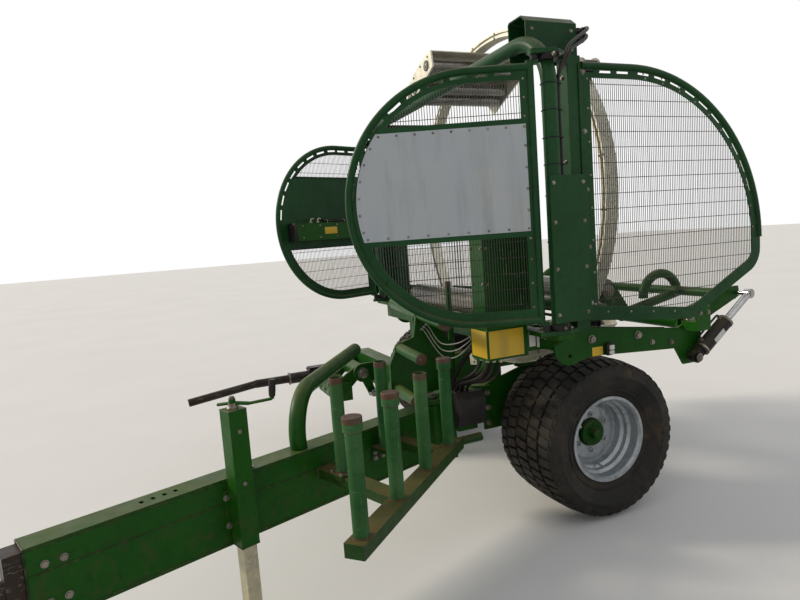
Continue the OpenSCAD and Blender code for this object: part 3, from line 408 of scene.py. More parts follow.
@dataclass(frozen=True)
class Zinc:
    """Galvanised steel with its spangle, grey bloom and a little rust where it rubs."""

    name: str
    base: Colour = linear(178, 178, 168)
    bloom: Colour = linear(206, 202, 184)
    stain: Colour = linear(112, 86, 56)
    staining: float = 0.35
    roughness: float = 0.42
    metal: float = 0.55

    def make(self) -> bpy.types.Material:
        """Builds the zinc's material.

        Returns:
            The material.
        """
        r = Recipe(self.name)
        flakes = r.node("ShaderNodeSeparateColor")
        r.feed(flakes.inputs[0], r.cells(55))
        colour = r.blend(self.base, self.bloom, flakes.outputs[0])
        colour = r.blend(colour, self.bloom, r.band(r.noise(3, 6), 0.42, 0.7))
        stained = r.band(r.noise(8, 8, (1, 1, 0.35)), 0.56, 0.76, 0, self.staining)
        colour = r.blend(colour, self.stain, stained)
        colour = r.blend(colour, shade(self.base, 0.45), r.band(r.noise(36, 6), 0.62, 0.74, 0, 0.5))
        rough = r.band(r.noise(22, 5), 0.3, 0.7, self.roughness - 0.12, self.roughness + 0.16)
        normal = r.relief(r.noise(90, 4), 0.0005)
        return r.finish(colour, rough, normal, self.metal)


@dataclass(frozen=True)
class Steel:
    """Bare or browned steel, rubbed bright in streaks."""

    name: str
    base: Colour
    rust: Colour = linear(66, 40, 26)
    bright: Colour = linear(150, 144, 134)
    rusting: float = 0.6
    rubbing: float = 0.3
    roughness: float = 0.45
    metal: float = 0.7
    streaks: Point = (1, 1, 1)

    def make(self) -> bpy.types.Material:
        """Builds the steel's material.

        Returns:
            The material.
        """
        r = Recipe(self.name)
        colour = r.blend(self.base, shade(self.base, 0.55), r.band(r.noise(6, 6), 0.35, 0.7))
        rusty = r.band(r.noise(21, 8), 0.46, 0.66, 0, self.rusting)
        colour = r.blend(colour, self.rust, rusty)
        rubbed = r.band(r.noise(12, 6, self.streaks), 0.58, 0.68, 0, self.rubbing)
        colour = r.blend(colour, self.bright, rubbed)
        rough = r.join(Join.PLUS, self.roughness - 0.1, r.join(Join.TIMES, rusty, 0.4))
        normal = r.relief(r.noise(70, 6), 0.0007)
        return r.finish(colour, rough, normal, self.metal)


@dataclass(frozen=True)
class Rubber:
    """Black rubber that has greyed, with dried mud where it is rough or low."""

    name: str
    base: Colour = linear(27, 27, 28)
    grey: Colour = linear(60, 58, 56)
    mud: Colour = linear(104, 80, 54)
    muddy: float = 0.0
    roughness: float = 0.7

    def make(self) -> bpy.types.Material:
        """Builds the rubber's material.

        Returns:
            The material.
        """
        r = Recipe(self.name)
        colour = r.blend(self.base, self.grey, r.band(r.noise(5, 6), 0.4, 0.72, 0, 0.6))
        clods = r.band(r.noise(17, 9), 0.44, 0.62, 0, self.muddy)
        caked = r.join(Join.TIMES, r.band(r.noise(4.5, 8), 0.42, 0.62), clods)
        specks = r.band(r.noise(85, 4), 0.6, 0.7, 0, self.muddy)
        muddy = r.join(Join.LARGER, caked, specks)
        tone = r.blend(self.mud, shade(self.mud, 0.45), r.band(r.noise(30, 5), 0.35, 0.65))
        colour = r.blend(colour, tone, muddy)
        rough = r.join(Join.PLUS, self.roughness, r.join(Join.TIMES, muddy, 0.2))
        normal = r.relief(r.noise(160, 5), 0.0006)
        normal = r.relief(muddy, 0.002, normal)
        return r.finish(colour, rough, normal, shine=0.25)


@dataclass(frozen=True)
class Sheet:
    """Smooth coated sheet or a blank label: flat colour that has yellowed and collected run-off dirt."""

    name: str
    base: Colour
    aged: Colour
    dirt: Colour = linear(96, 92, 76)
    dirtiness: float = 0.3
    roughness: float = 0.3

    def make(self) -> bpy.types.Material:
        """Builds the sheet's material.

        Returns:
            The material.
        """
        r = Recipe(self.name)
        colour = r.blend(self.base, self.aged, r.band(r.noise(2.2, 5), 0.35, 0.7))
        runs = r.band(r.noise(11, 6, (1, 1, 0.12)), 0.52, 0.76, 0, self.dirtiness)
        colour = r.blend(colour, self.dirt, runs)
        colour = r.blend(colour, self.dirt, r.band(r.noise(60, 6), 0.66, 0.76, 0, self.dirtiness))
        rough = r.band(r.noise(9, 5), 0.3, 0.7, self.roughness, self.roughness + 0.2)
        normal = r.relief(r.noise(5, 2), 0.002)
        return r.finish(colour, rough, normal, shine=0.3)


@dataclass(frozen=True)
class Lens:
    """Clear ribbed plastic of a lamp."""

    name: str
    tint: Colour

    def make(self) -> bpy.types.Material:
        """Builds the lens's material.

        Returns:
            The material.
        """
        r = Recipe(self.name)
        colour = r.blend(self.tint, shade(self.tint, 0.8), r.band(r.noise(40, 4), 0.4, 0.7))
        rough = r.band(r.noise(30, 3), 0.3, 0.7, 0.05, 0.2)
        ribs = r.relief(r.noise(220, 1, (1, 8, 1)), 0.001)
        return r.finish(colour, rough, ribs, coat=0.8)


class Finish(Enum):
    """Every finish on the machine. An option's material is made when it is first used."""

    GREEN = Paint("field_green", linear(12, 66, 8), linear(30, 84, 18))
    # the guards' green is the field green made darker and bluer: painted shade, a shaded copy of the same
    # paint
    GUARD = Paint("guard_green_painted_shade", linear(18, 58, 28), linear(35, 77, 42), chips=0.35, dustiness=0.4)
    RACK = Paint("rack_green", linear(18, 56, 14), linear(48, 76, 34), dust=linear(112, 90, 58),
                 chips=0.9, scratches=0.7, dustiness=0.75)
    SPINDLE = Paint("spindle_green", linear(26, 76, 34), linear(72, 108, 66), dust=linear(104, 82, 52),
                    chips=0.9, scratches=0.95, dustiness=0.9, roughness=0.45)
    BLACK = Paint("worn_black", linear(24, 24, 25), linear(44, 44, 44), chips=0.4, dustiness=0.4)
    RING = Zinc("ring_zinc", staining=0.3)
    FITTING = Zinc("fitting_zinc", linear(150, 148, 138), linear(188, 180, 150), staining=0.6)
    RIM = Zinc("worn_rim", linear(136, 142, 146), linear(168, 174, 178), stain=linear(82, 66, 46),
               staining=0.6, roughness=0.36, metal=0.35)
    ROLLER = Steel("roller_steel", linear(132, 130, 124), rusting=0.25, rubbing=0.7, roughness=0.36,
                   streaks=(0.4, 12, 12))
    ROD = Steel("rod_chrome", linear(196, 196, 196), rusting=0.08, rubbing=0.2, roughness=0.22, metal=1.0)
    TINE = Steel("tine_steel", linear(46, 42, 38), rusting=0.5, rubbing=0.35, roughness=0.5,
                 streaks=(10, 0.8, 10))
    BOLT = Steel("bolt_steel", linear(136, 132, 120))
    WIRE = Steel("wire_steel", linear(40, 48, 42), rusting=0.3, rubbing=0.25, metal=0.4)
    WELD = Paint("painted_weld", linear(10, 46, 10), linear(24, 60, 20), chips=0.8)
    RUSTY = Steel("rusty_steel", linear(78, 58, 42), linear(92, 54, 32), linear(138, 120, 98),
                  rusting=0.85, rubbing=0.35, roughness=0.6, metal=0.25)
    CABLE = Rubber("cable_grey", linear(150, 150, 142), linear(176, 172, 158), muddy=0.3, roughness=0.55)
    TYRE = Rubber("muddy_tyre", linear(24, 24, 24), linear(58, 54, 48), linear(98, 84, 62), muddy=0.55)
    HOSE = Rubber("hose_black", linear(20, 20, 21), muddy=0.2, roughness=0.5)
    PLASTIC = Rubber("black_plastic", linear(18, 18, 19), linear(40, 40, 42), muddy=0.15, roughness=0.4)
    PANEL = Sheet("pale_sheet", linear(164, 172, 180), linear(176, 180, 180))
    YELLOW = Sheet("label_yellow", linear(214, 174, 34), linear(196, 164, 58), dirtiness=0.4)
    WHITE = Sheet("label_white", linear(208, 210, 206), linear(190, 190, 180), dirtiness=0.4)
    CLEAR = Lens("lamp_lens", linear(206, 206, 200))

    def material(self) -> bpy.types.Material:
        """The option's material, made once."""
        return bpy.data.materials.get(self.value.name) or self.value.make()


def arc(centre: Flat, radius: float, start: float, end: float, steps: int) -> list[Flat]:
    """Points on an arc.

    Args:
        centre: Its centre.
        radius: Its radius.
        start: First angle in degrees.
        end: Last angle in degrees.
        steps: Number of steps.

    Returns:
        The points.
    """
    angles = [math.radians(start + (end - start) * i / steps) for i in range(steps + 1)]
    return [(centre[0] + radius * math.cos(a), centre[1] + radius * math.sin(a)) for a in angles]


def spaced(centre: Flat, count: int, first: float, wide: float, high: float | None = None) -> list[Flat]:
    """Evenly spaced places on a circle or an oval.

    Args:
        centre: Its centre.
        count: Number of places.
        first: Angle of the first one in degrees.
        wide: Its radius along the first number.
        high: Its radius along the second number, where that isn't the same.

    Returns:
        The places.
    """
    angles = [math.radians(first + 360 * k / count) for k in range(count)]
    return [(centre[0] + wide * math.cos(a), centre[1] + (high or wide) * math.sin(a)) for a in angles]


def circle(centre: Vector, across: Vector, other: Vector, radius: float, sides: int) -> list[Vector]:
    """Points round a centre in the plane of two directions.

    Args:
        centre: The centre.
        across: The way to the first point.
        other: The way to the point a quarter turn on.
        radius: Distance from the centre.
        sides: Number of points.

    Returns:
        The points.
    """
    turns = (2 * math.pi * k / sides for k in range(sides))
    return [centre + (across * math.cos(t) + other * math.sin(t)) * radius for t in turns]


def cut_corners(low: Flat, high: Flat, cut: float) -> list[Flat]:
    """Rectangle with its corners cut off.

    Args:
        low: Its lowest corner.
        high: Its highest corner.
        cut: How much of a side each corner takes.

    Returns:
        The eight corners.
    """
    (x0, y0), (x1, y1) = low, high
    return [(x0 + cut, y0), (x1 - cut, y0), (x1, y0 + cut), (x1, y1 - cut),
            (x1 - cut, y1), (x0 + cut, y1), (x0, y1 - cut), (x0, y0 + cut)]


def chords(outline: Sequence[Flat], at: float, axis: int) -> list[Flat]:
    """Where a line across an outline lies inside it.

    Args:
        outline: The outline's corners.
        at: The line's coordinate.
        axis: 0 where the line stands upright at a first coordinate, 1 where it lies at a second one.

    Returns:
        Pairs of the other coordinate.
    """
    cuts = []
    for p, q in zip(outline, [*outline[1:], outline[0]]):
        a, b = p[axis], q[axis]
        if (a <= at < b) or (b <= at < a):
            share = (at - a) / (b - a)
            cuts.append(p[1 - axis] + (q[1 - axis] - p[1 - axis]) * share)
    cuts.sort()
    return list(zip(cuts[::2], cuts[1::2]))


def smooth(points: Sequence[Point], steps: int = 6) -> list[Point]:
    """Rounds a line of points into a flowing curve through them.

    Args:
        points: The points.
        steps: Steps between two of them.

    Returns:
        The curve's points.
    """
    p = [Vector(q) for q in points]
    p = [p[0] * 2 - p[1], *p, p[-1] * 2 - p[-2]]
    curve = []
    for a, b, c, d in zip(p, p[1:], p[2:], p[3:]):
        for k in range(steps):
            t = k / steps
            square = (a * 2 - b * 5 + c * 4 - d) * t * t
            cube = (b * 3 - a - c * 3 + d) * t ** 3
            curve.append(tuple(((b * 2) + (c - a) * t + square + cube) / 2))
    curve.append(tuple(p[-2]))
    return curve


def side_name(side: int) -> str:
    """The name of the machine's left side, 1, or its right side, -1."""
    return "left" if side > 0 else "right"


def stand(name: str, data: bpy.types.ID) -> bpy.types.Object:
    """Puts a mesh, a lamp or a camera into the scene.

    Args:
        name: The object's name.
        data: What it shows.

    Returns:
        The object.
    """
    made = bpy.data.objects.new(name, data)
    bpy.context.scene.collection.objects.link(made)
    return made


class Shape:
    """Points and faces gathered for one piece, in millimetres of the frame that it is drawn in."""

    def __init__(self, place: Matrix = MACHINE) -> None:
        """Starts an empty shape.

        Args:
            place: From the frame that it is drawn in to the row frame.
        """
        self.place = place
        self.points: list[Vector] = []
        self.faces: list[tuple[int, ...]] = []

    def add(self, points: Iterable[Sequence[float]], faces: Iterable[Sequence[int]]) -> None:
        """Adds points and the faces between them.

        Args:
            points: The points.
            faces: Each face as numbers of these points, from 0.
        """
        first = len(self.points)
        self.points += [Vector(p) for p in points]
        self.faces += [tuple(first + i for i in face) for face in faces]

    def rings(self, rings: Sequence[Sequence[Sequence[float]]], closed: bool = False,
              caps: bool = True) -> None:
        """Skins a row of rings that have equally many points.

        Args:
            rings: The rings' points.
            closed: Whether the last ring joins the first.
            caps: Whether an open row is closed at its ends.
        """
        n, m = len(rings[0]), len(rings)
        faces = []
        for i in range(m if closed else m - 1):
            a, b = i * n, (i + 1) % m * n
            faces += [(a + j, a + (j + 1) % n, b + (j + 1) % n, b + j) for j in range(n)]
        if caps and not closed:
            faces += [tuple(reversed(range(n))), tuple((m - 1) * n + j for j in range(n))]
        self.add([p for ring in rings for p in ring], faces)

    def tube(self, path: Sequence[Point], radius: "float | Callable[[float], float]", sides: int = 12,
             closed: bool = False) -> None:
        """Sweeps a round section along a path.

        Args:
            path: The points that it follows.
            radius: Its radius, or a function of the share of the way along.
            sides: Sides of its section.
            closed: Whether the path comes back to its start.
        """
        route = [Vector(p) for p in path]
        n = len(route)
        across = None
        rings = []
        for i, here in enumerate(route):
            before = route[i - 1] if i or closed else here
            after = route[(i + 1) % n] if i < n - 1 or closed else here
            along = (after - before).normalized()
            if across is None:
                across = along.orthogonal().normalized()
            across = (across - along * across.dot(along)).normalized()
            other = along.cross(across)
            r = radius(i / max(1, n - 1)) if callable(radius) else radius
            rings.append(circle(here, across, other, r, sides))
        self.rings(rings, closed)

    def block(self, low: Point, high: Point, cut: float = 1.5) -> None:
        """Box with cut edges.

        Args:
            low: Its lowest corner.
            high: Its highest corner.
            cut: Width of the cut edges.
        """
        x0, y0, z0 = low
        x1, y1, z1 = high
        c = min(cut, (x1 - x0) / 2.5, (y1 - y0) / 2.5, (z1 - z0) / 2.5)
        rings = []
        for inset, z in ((c * 0.7, z0), (0, z0 + c), (0, z1 - c), (c * 0.7, z1)):
            corners = cut_corners((x0 + inset, y0 + inset), (x1 - inset, y1 - inset), c)
            rings.append([(x, y, z) for x, y in corners])
        self.rings(rings)

    def turned(self, profile: Sequence[Flat], at: Point, axis: Axis, steps: int = 32) -> None:
        """Turns a profile of [radius, distance along the axis] round an axis through a point.

        Args:
            profile: The profile, from one end to the other.
            at: The axis's point where the distance is 0.
            axis: The axis.
            steps: Sides of the turned piece.
        """
        along = Vector(axis.value)
        across = along.orthogonal().normalized()
        other = along.cross(across)
        base = Vector(at)
        self.rings([circle(base + along * d, across, other, max(r, 0.05), steps) for r, d in profile])

    def bolt(self, at: Point, axis: Axis, size: float = 12.0, nut: float = 0.0) -> None:
        """Hexagon head on a washer, with the stud's end standing out of it where it is a nut.

        Args:
            at: The point on the surface.
            axis: The way out of the surface.
            size: Diameter of the thread.
            nut: How far the stud stands out of the nut, or 0 for a head.
        """
        s = size * 0.92
        self.turned([(s * 1.2, -1), (s * 1.2, s * 0.16), (s * 1.1, s * 0.2)], at, axis, 20)
        self.turned([(s, s * 0.15), (s, s * 0.8), (s * 0.86, s * 0.92), (s * 0.1, s * 0.92)], at, axis, 6)
        if nut:
            stud, tip = size / 2, s * 0.9 + nut
            self.turned([(stud, s * 0.5), (stud, tip - 1), (stud - 1, tip)], at, axis, 12)

    def rivet(self, at: Point, axis: Axis) -> None:
        """Low domed head at a point on a surface, with the way out of it."""
        self.turned([(6.2, -0.6), (6.2, 0.9), (4.6, 2.6), (1.5, 3.3)], at, axis, 12)

    def bearing(self, side: int, at: Flat, flange: float, neck: float, bolts: float, size: float) -> None:
        """Bearing of a wrapping roller on the outside of its plate, with four bolts.

        Args:
            side: 1 on the left, -1 on the right.
            at: The roller's axis.
            flange: Radius of its flange.
            neck: Radius of its neck.
            bolts: Radius of the bolts' circle.
            size: Diameter of the bolts.
        """
        axis = Axis.outward(side)
        profile = [(flange, 0), (flange, 5), (neck, 9), (neck, 14), (neck - 8, 17)]
        self.turned(profile, (side * BEARING_FACE, *at), axis, 36)
        for y, z in spaced(at, 4, 45, bolts):
            self.bolt((side * BEARING_FACE, y, z), axis, size)

    def weld(self, path: Sequence[Point], width: float = 5.0) -> None:
        """Rippled bead along a line of points.

        Args:
            path: The line.
            width: Half the bead's width.
        """
        route: list[Vector] = []
        for a, b in zip(path, path[1:]):
            a, b = Vector(a), Vector(b)
            n = max(2, int((b - a).length / (width * 0.7)))
            route += [a.lerp(b, i / n) for i in range(n)]
        route.append(Vector(path[-1]))
        n = len(route)
        self.tube(route, lambda t: width * (0.8 + 0.2 * (round(t * (n - 1)) % 2)), 6)

    def ring_weld(self, across: Axis, along: float, centre: Flat, radius: float, width: float,
                  steps: int = 36) -> None:
        """Weld seam round a tube.

        Args:
            across: The tube's axis.
            along: Where the seam lies along it.
            centre: The tube's middle as the two other numbers.
            radius: Radius of the seam.
            width: Half the bead's width.
            steps: Sides of the seam.
        """
        self.weld([across.lay(p, along) for p in arc(centre, radius, 0, 360, steps)], width)

    def plate(self, outline: Sequence[Flat], start: float, end: float, across: Axis) -> None:
        """Flat plate of an outline.

        Args:
            outline: Its corners as the two numbers besides the axis across it.
            start: Where it starts along the axis.
            end: Where it ends.
            across: The axis across it.
        """
        self.rings([[across.lay(p, along) for p in outline] for along in (start, end)])

    def piece(self, name: str, body: str, finish: Finish, slot: str,
              crease: float = 35.0) -> bpy.types.Object:
        """Makes the piece and lets it ride on its body.

        Args:
            name: The piece's name.
            body: The body that carries it.
            finish: Its finish.
            slot: Not used.
            crease: Angle in degrees over which an edge stays sharp.

        Returns:
            The object.
        """
        mesh = bpy.data.meshes.new(name)
        mesh.from_pydata([self.place @ p for p in self.points], [], self.faces)
        work = bmesh.new()
        work.from_mesh(mesh)
        bmesh.ops.recalc_face_normals(work, faces=work.faces)
        work.to_mesh(mesh)
        work.free()
        mesh.validate()
        mesh.shade_smooth()
        mesh.set_sharp_from_angle(angle=math.radians(crease))
        mesh.materials.append(finish.material())
        made = stand(name, mesh)
        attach(made, body)
        LOG.info("%s: %d faces on %s", name, len(mesh.polygons), body)
        return made


@dataclass
class Wheel:
    """One road wheel: tread and sidewalls, nuts and valve."""

    side: int
    track: float = 1790.0
    outer: float = 433.0
    width: float = 490.0
    tread_half: float = 222.0
    pitches: int = 46
    rows: tuple[tuple[float, float, float], ...] = ((-222, -150, 0.5), (-136, -58, 0.0), (-44, 44, 0.5),
                                                     (58, 136, 0.0), (150, 222, 0.5))
    disc: float = 48.0
    nut_circle: float = 102.5
    valve: float = 170.0
    hub: float = 80.0
    hub_circle: float = 50.0

    def body(self) -> str:
        """Name of the wheel's body."""
        return f"wheel_{side_name(self.side)}"

    def crown(self, across: float) -> float:
        """Radius of the tread surface at a distance from the middle plane."""
        return self.outer - 1.5 - 16.0 * (abs(across) / self.tread_half) ** 3.2

    def at(self, radius: float, across: float, angle: float) -> Point:
        """Point of the wheel in the machine's frame."""
        y, z = radius * math.cos(angle), self.outer + radius * math.sin(angle)
        return (self.side * self.track / 2 + across, y, z)

    def face(self, off: float) -> float:
        """How far out a face of the wheel lies that is off its middle plane."""
        return self.side * (self.track / 2 + off)

    def casing(self) -> Shape:
        """Carcass with its sidewall rings and bead.

        Returns:
            The shape.
        """
        bead = [(218.5, 150), (217.5, 180), (224, 190), (234, 193), (240, 196), (252, 201), (264, 207),
                (268, 214), (274, 214), (278, 211)]
        wall = [(296, 222), (318, 233), (338, 240), (342, 243.5), (350, 244), (354, 241), (372, 240),
                (392, 234), (408, 225)]
        edge = [(self.crown(s) - 15, s) for s in (212, 180, 140, 100, 50, 0)]
        section = bead + wall + edge
        section += [(r, -s) for r, s in reversed(section[:-1])]
        side, corner = self.width / 2 - 62, self.width / 2 - 80
        section += [(300, -side), (398, -corner), (398, corner), (300, side)]
        turns = [2 * math.pi * k / 160 for k in range(160)]
        made = Shape()
        made.rings([[self.at(r, s, t) for r, s in section] for t in turns], closed=True)
        return made

    def tread(self) -> Shape:
        """Blocks of the tread, each with its own slant and worn corners.

        Returns:
            The shape.
        """
        made = Shape()
        wear = random.Random(11 + self.side)
        pitch = 2 * math.pi / self.pitches
        for low, high, shift in self.rows:
            shoulder = abs(low + high) > 300
            span = pitch * (0.70 if shoulder else 0.78)
            slant = pitch * (0.16 if low + high >= 0 else -0.16)
            for k in range(self.pitches):
                start = (k + shift) * pitch
                worn = wear.uniform(0.0, 2.5)
                if shoulder:
                    self.add_rib(made, 1 if low > 0 else -1, start, span)
                self.add_lug(made, low, high, start, span, slant, worn)
        return made

    def add_rib(self, made: Shape, outside: int, start: float, span: float) -> None:
        """Adds the slope of a shoulder block down the sidewall.

        Args:
            made: The tread.
            outside: 1 or -1, the side of the tyre that it is on.
            start: Angle where the block starts.
            span: Angle that the block takes.
        """
        long, short = (0.05, 0.95), (0.12, 0.88)
        tip = [self.at(404, outside * 234, start + span * f) for f in short]
        edge = outside * self.tread_half
        foot = [self.at(self.crown(edge) - 6, edge, start + span * f) for f in long]
        inner = [self.at(398, outside * 225, start + span * f) for f in short]
        made.add([*tip, *foot, *inner], [(0, 1, 3, 2), (0, 2, 4), (1, 5, 3), (0, 4, 5, 1), (2, 3, 5, 4)])

    def add_lug(self, made: Shape, low: float, high: float, start: float, span: float, slant: float,
                worn: float) -> None:
        """Adds one block of the tread.

        Args:
            made: The tread.
            low: Its inner side, from the middle plane.
            high: Its outer side.
            start: Angle where it starts.
            span: Angle that it takes.
            slant: Angle by which its outer side is ahead.
            worn: How far it has worn down.
        """
        cuts = 4
        levels = []
        for inset, drop in ((0.0, 17.0), (0.0, 2.5), (3.0, 0.0)):
            a, b = low + inset, high - inset
            turn = inset / self.outer
            ring = []
            for s, skew in ((a, 0.0), (b, slant)):
                angles = [start + skew + turn + (span - 2 * turn) * i / cuts for i in range(cuts + 1)]
                if s == b:
                    angles.reverse()
                ring += [self.at(self.crown(s) - drop - worn, s, t) for t in angles]
            levels.append(ring)
        made.rings(levels)

    def nuts(self) -> Shape:
        """Wheel nuts and the valve.

        Returns:
            The shape.
        """
        made = Shape()
        axis = Axis.outward(self.side)
        for y, z in spaced((0, self.outer), 6, 30, self.nut_circle):
            made.bolt((self.face(self.disc), y, z), axis, 18, 16)
        stem = [(6, -4), (6, 30), (4.5, 31), (4.5, 46), (5.5, 47), (5.5, 54)]
        made.turned(stem, (self.face(self.disc + 46), 0, self.outer - self.valve), axis, 12)
        return made

    def hub_trim(self) -> Shape:
        """Screws and rings of the hub's cover.

        Returns:
            The shape.
        """
        made = Shape()
        axis = Axis.outward(self.side)
        for y, z in spaced((0, self.outer), 8, 0, self.hub_circle):
            made.bolt((self.face(self.hub), y, z), axis, 7)
        made.turned([(33, -2), (33, 5), (31, 7)], (self.face(self.hub), 0, self.outer), axis, 32)
        return made

    def build(self) -> None:
        """Makes the wheel's pieces."""
        where = side_name(self.side)
        casing = self.casing().piece(f"tyre_casing_{where}", self.body(), Finish.TYRE, "tyre_rubber")
        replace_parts(casing, f"tyre_{where}")
        self.tread().piece(f"tyre_tread_{where}", self.body(), Finish.TYRE, "tyre_rubber", 25)
        self.nuts().piece(f"wheel_nuts_{where}", self.body(), Finish.RIM, "rim_silver")
        self.hub_trim().piece(f"hub_trim_{where}", self.body(), Finish.GREEN, "green_paint")


@dataclass
class Grille:
    """Welded wire grille: close upright wires and wide-spaced lying ones."""

    outline: list[Flat]
    wire: float = 3.6
    close: float = 12.7
    wide: float = 76.0

    def wires(self, made: Shape, lay: Callable[[float, float, float], Point]) -> None:
        """Adds the wires to a shape.

        Args:
            made: The shape.
            lay: Gives a point for a place along the guard, a height and a distance off its plane.
        """
        along = [p[0] for p in self.outline]
        heights = [p[1] for p in self.outline]
        radius = self.wire / 2
        sag = random.Random(5)
        u = min(along) + self.close * 0.6
        while u < max(along):
            for low, high in chords(self.outline, u, 0):
                drift = sag.uniform(-0.8, 0.8)
                bend = lay(u + drift, (low + high) / 2, sag.uniform(-1, 1))
                made.tube([lay(u, low, 0), bend, lay(u, high, 0)], radius, 5)
            u += self.close
        v = min(heights) + self.wide * 0.55
        while v < max(heights):
            for low, high in chords(self.outline, v, 1):
                made.tube([lay(low, v, self.wire * 0.9), lay(high, v, self.wire * 0.9)], radius, 5)
            v += self.wide


@dataclass
class FrontGuard:
    """Swinging front guard: grilles, rivets, hinge trim and what hangs on it."""

    side: int
    radius: float = 612.0
    flat: float = 315.0
    middle: float = 1742.0
    band: float = 58.0
    panel_low: float = 1580.0
    panel_high: float = 2080.0
    grille_plane: float = 4.8
    box_top: float = 1747.0

    def shape(self) -> Shape:
        """Empty shape in this guard's frame."""
        return Shape(LEFT_GUARD if self.side > 0 else RIGHT_GUARD)

    def fit(self, made: Shape, name: str, finish: Finish, slot: str) -> bpy.types.Object:
        """Makes a piece that swings with this guard.

        Args:
            made: Its shape.
            name: What it is.
            finish: Its finish.
            slot: The record's slot, passed on to the piece.

        Returns:
            The object.
        """
        where = side_name(self.side)
        return made.piece(f"guard_{where}_{name}", f"{where}_guard", finish, slot)

    def outline(self, inset: float) -> list[Flat]:
        """Outline that lies inside the guard's own.

        Args:
            inset: How far inside.

        Returns:
            Its corners as [distance from the hinge, height].
        """
        r = self.radius - inset
        round_end = reversed(arc((self.flat, self.middle), r, -90, 90, 40))
        return [(inset, self.middle + r), *round_end, (inset, self.middle - r)]

    def windows(self) -> list[list[Flat]]:
        """Upper and lower window of the guard, with the wires' ends tucked behind its band and sheet.

        Returns:
            The outlines of both.
        """
        full = self.outline(self.band)
        low, high = self.panel_low - 10, self.panel_high + 10
        upper = [*((u, max(v, high)) for u, v in full if v > high - 60), (self.band, high)]
        lower = [*((u, min(v, low)) for u, v in full if v < low + 60), (self.band, low)]
        return [upper, lower]

    def grilles(self) -> None:
        """Wires of both windows."""
        wires = self.shape()
        for outline in self.windows():
            Grille(outline).wires(wires, lambda u, v, w: (-self.grille_plane - w, -u, v))
        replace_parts(self.fit(wires, "wires", Finish.WIRE, "wire_mesh"), f"guard_{side_name(self.side)}_mesh")

    def rivets(self) -> None:
        """Dome rivets round the middle sheet and round heads on the band."""
        made = self.shape()
        sheet, frame_face, first = 5.2, 3, 62
        spots = []
        for v in (self.panel_low + 13, self.panel_high - 13):
            reach = self.flat + math.sqrt((self.radius - 54) ** 2 - (v - self.middle) ** 2) - 22
            spots += [(sheet, first + (reach - first) * k / 8, v) for k in range(9)]
        spots += [(sheet, 60, v) for v in (1680, 1780, 1880, 1980)]
        spots += [(sheet, u, v) for u, v in arc((self.flat, self.middle), self.radius - 66, -12, 30, 5)]
        spots += [(frame_face, 57, v) for v in (1215, 1330, 1445, 1545, 2115, 2200, 2285)]
        for x, u, v in spots:
            made.rivet((x, -u, v), Axis.X)
        self.fit(made, "rivets", Finish.BOLT, "bare_steel")

    def hinges(self) -> None:
        """Bushes and the top nut on the hinge."""
        made = self.shape()
        made.turned([(19, 0), (19, 26)], (0, 0, 1091), Axis.Z, 24)
        made.turned([(19, 0), (19, 20)], (0, 0, 2366), Axis.Z, 24)
        made.turned([(17, 0), (17, 5), (12, 9)], (0, 0, 2409.5), Axis.Z, 24)
        self.fit(made, "hinge_bushes", Finish.BLACK, "black_paint")

    def seams(self) -> None:
        """Seams at the hinge side and tacks along the round edge."""
        made = self.shape()
        for v in (self.middle - self.radius, self.middle + self.radius):
            for x in (-12.5, 12.5):
                made.weld([(x, -38, v), (x, -6, v)], 3)
        for v in (1300, 1500, 1742, 1990, 2190):
            made.weld([(3.4, -40, v - 18), (3.4, -40, v + 18)], 3)
        for u, v in arc((self.flat, self.middle), self.radius - 35, -80, 80, 8):
            made.tube([(3.2, -u - 1, v - 14), (4.6, -u, v), (3.2, -u + 1, v + 14)], 2.6, 6)
        self.fit(made, "welds", Finish.WELD, "guard_paint")

    def box_trim(self) -> None:
        """End caps, label, clips, hose and screws of the long box on the right guard's inner side."""
        caps = self.shape()
        caps.block((-96, -832, 1617), (-1, -806, 1753), 4)
        caps.block((-96, -128, 1617), (-1, -114, 1753), 4)
        caps.piece("guard_box_caps", "right_guard", Finish.PLASTIC, "black_paint")
        label = self.shape()
        label.block((-94.1, -556, 1662), (-93.1, -437, 1714), 0.3)
        label.piece("guard_box_label", "right_guard", Finish.YELLOW, "panel_white")
        x, top = -48, self.box_top
        clips = self.shape()
        for y in (-650, -585):
            hook = [(x, y, top), (x, y, top + 25), (x, y + 14, top + 37), (x, y + 30, top + 31)]
            clips.tube(smooth(hook), 5.5, 10)
            clips.bolt((x, y, top + 3), Axis.Z, 14)
        for y in (-500, -330, -170):
            loop = [(-62, y, top + 3), (-61, y, top + 16), (x, y, top + 27), (-35, y, top + 16),
                    (-34, y, top + 3)]
            clips.tube(loop, 2.4, 6)
        clips.piece("guard_box_clips", "right_guard", Finish.FITTING, "bare_steel")
        hose = self.shape()
        hose.tube(smooth([(-48, -548, 1778), (-48, -510, 1764), (-46, -420, 1760), (-50, -300, 1761),
                          (-47, -180, 1760), (-40, -120, 1757)]), 9.5, 12)
        hose.piece("guard_box_hose", "right_guard", Finish.HOSE, "hose_rubber")
        screws = self.shape()
        for y in (-760, -600, -440, -280, -170):
            for z in (1640, 1730):
                screws.bolt((-93.2, y, z), Axis.RIGHT, 7)
        screws.piece("guard_box_screws", "right_guard", Finish.BOLT, "bare_steel")

    def build(self) -> None:
        """Makes the guard's pieces."""
        self.grilles()
        self.rivets()
        self.hinges()
        self.seams()
        if self.side < 0:
            self.box_trim()


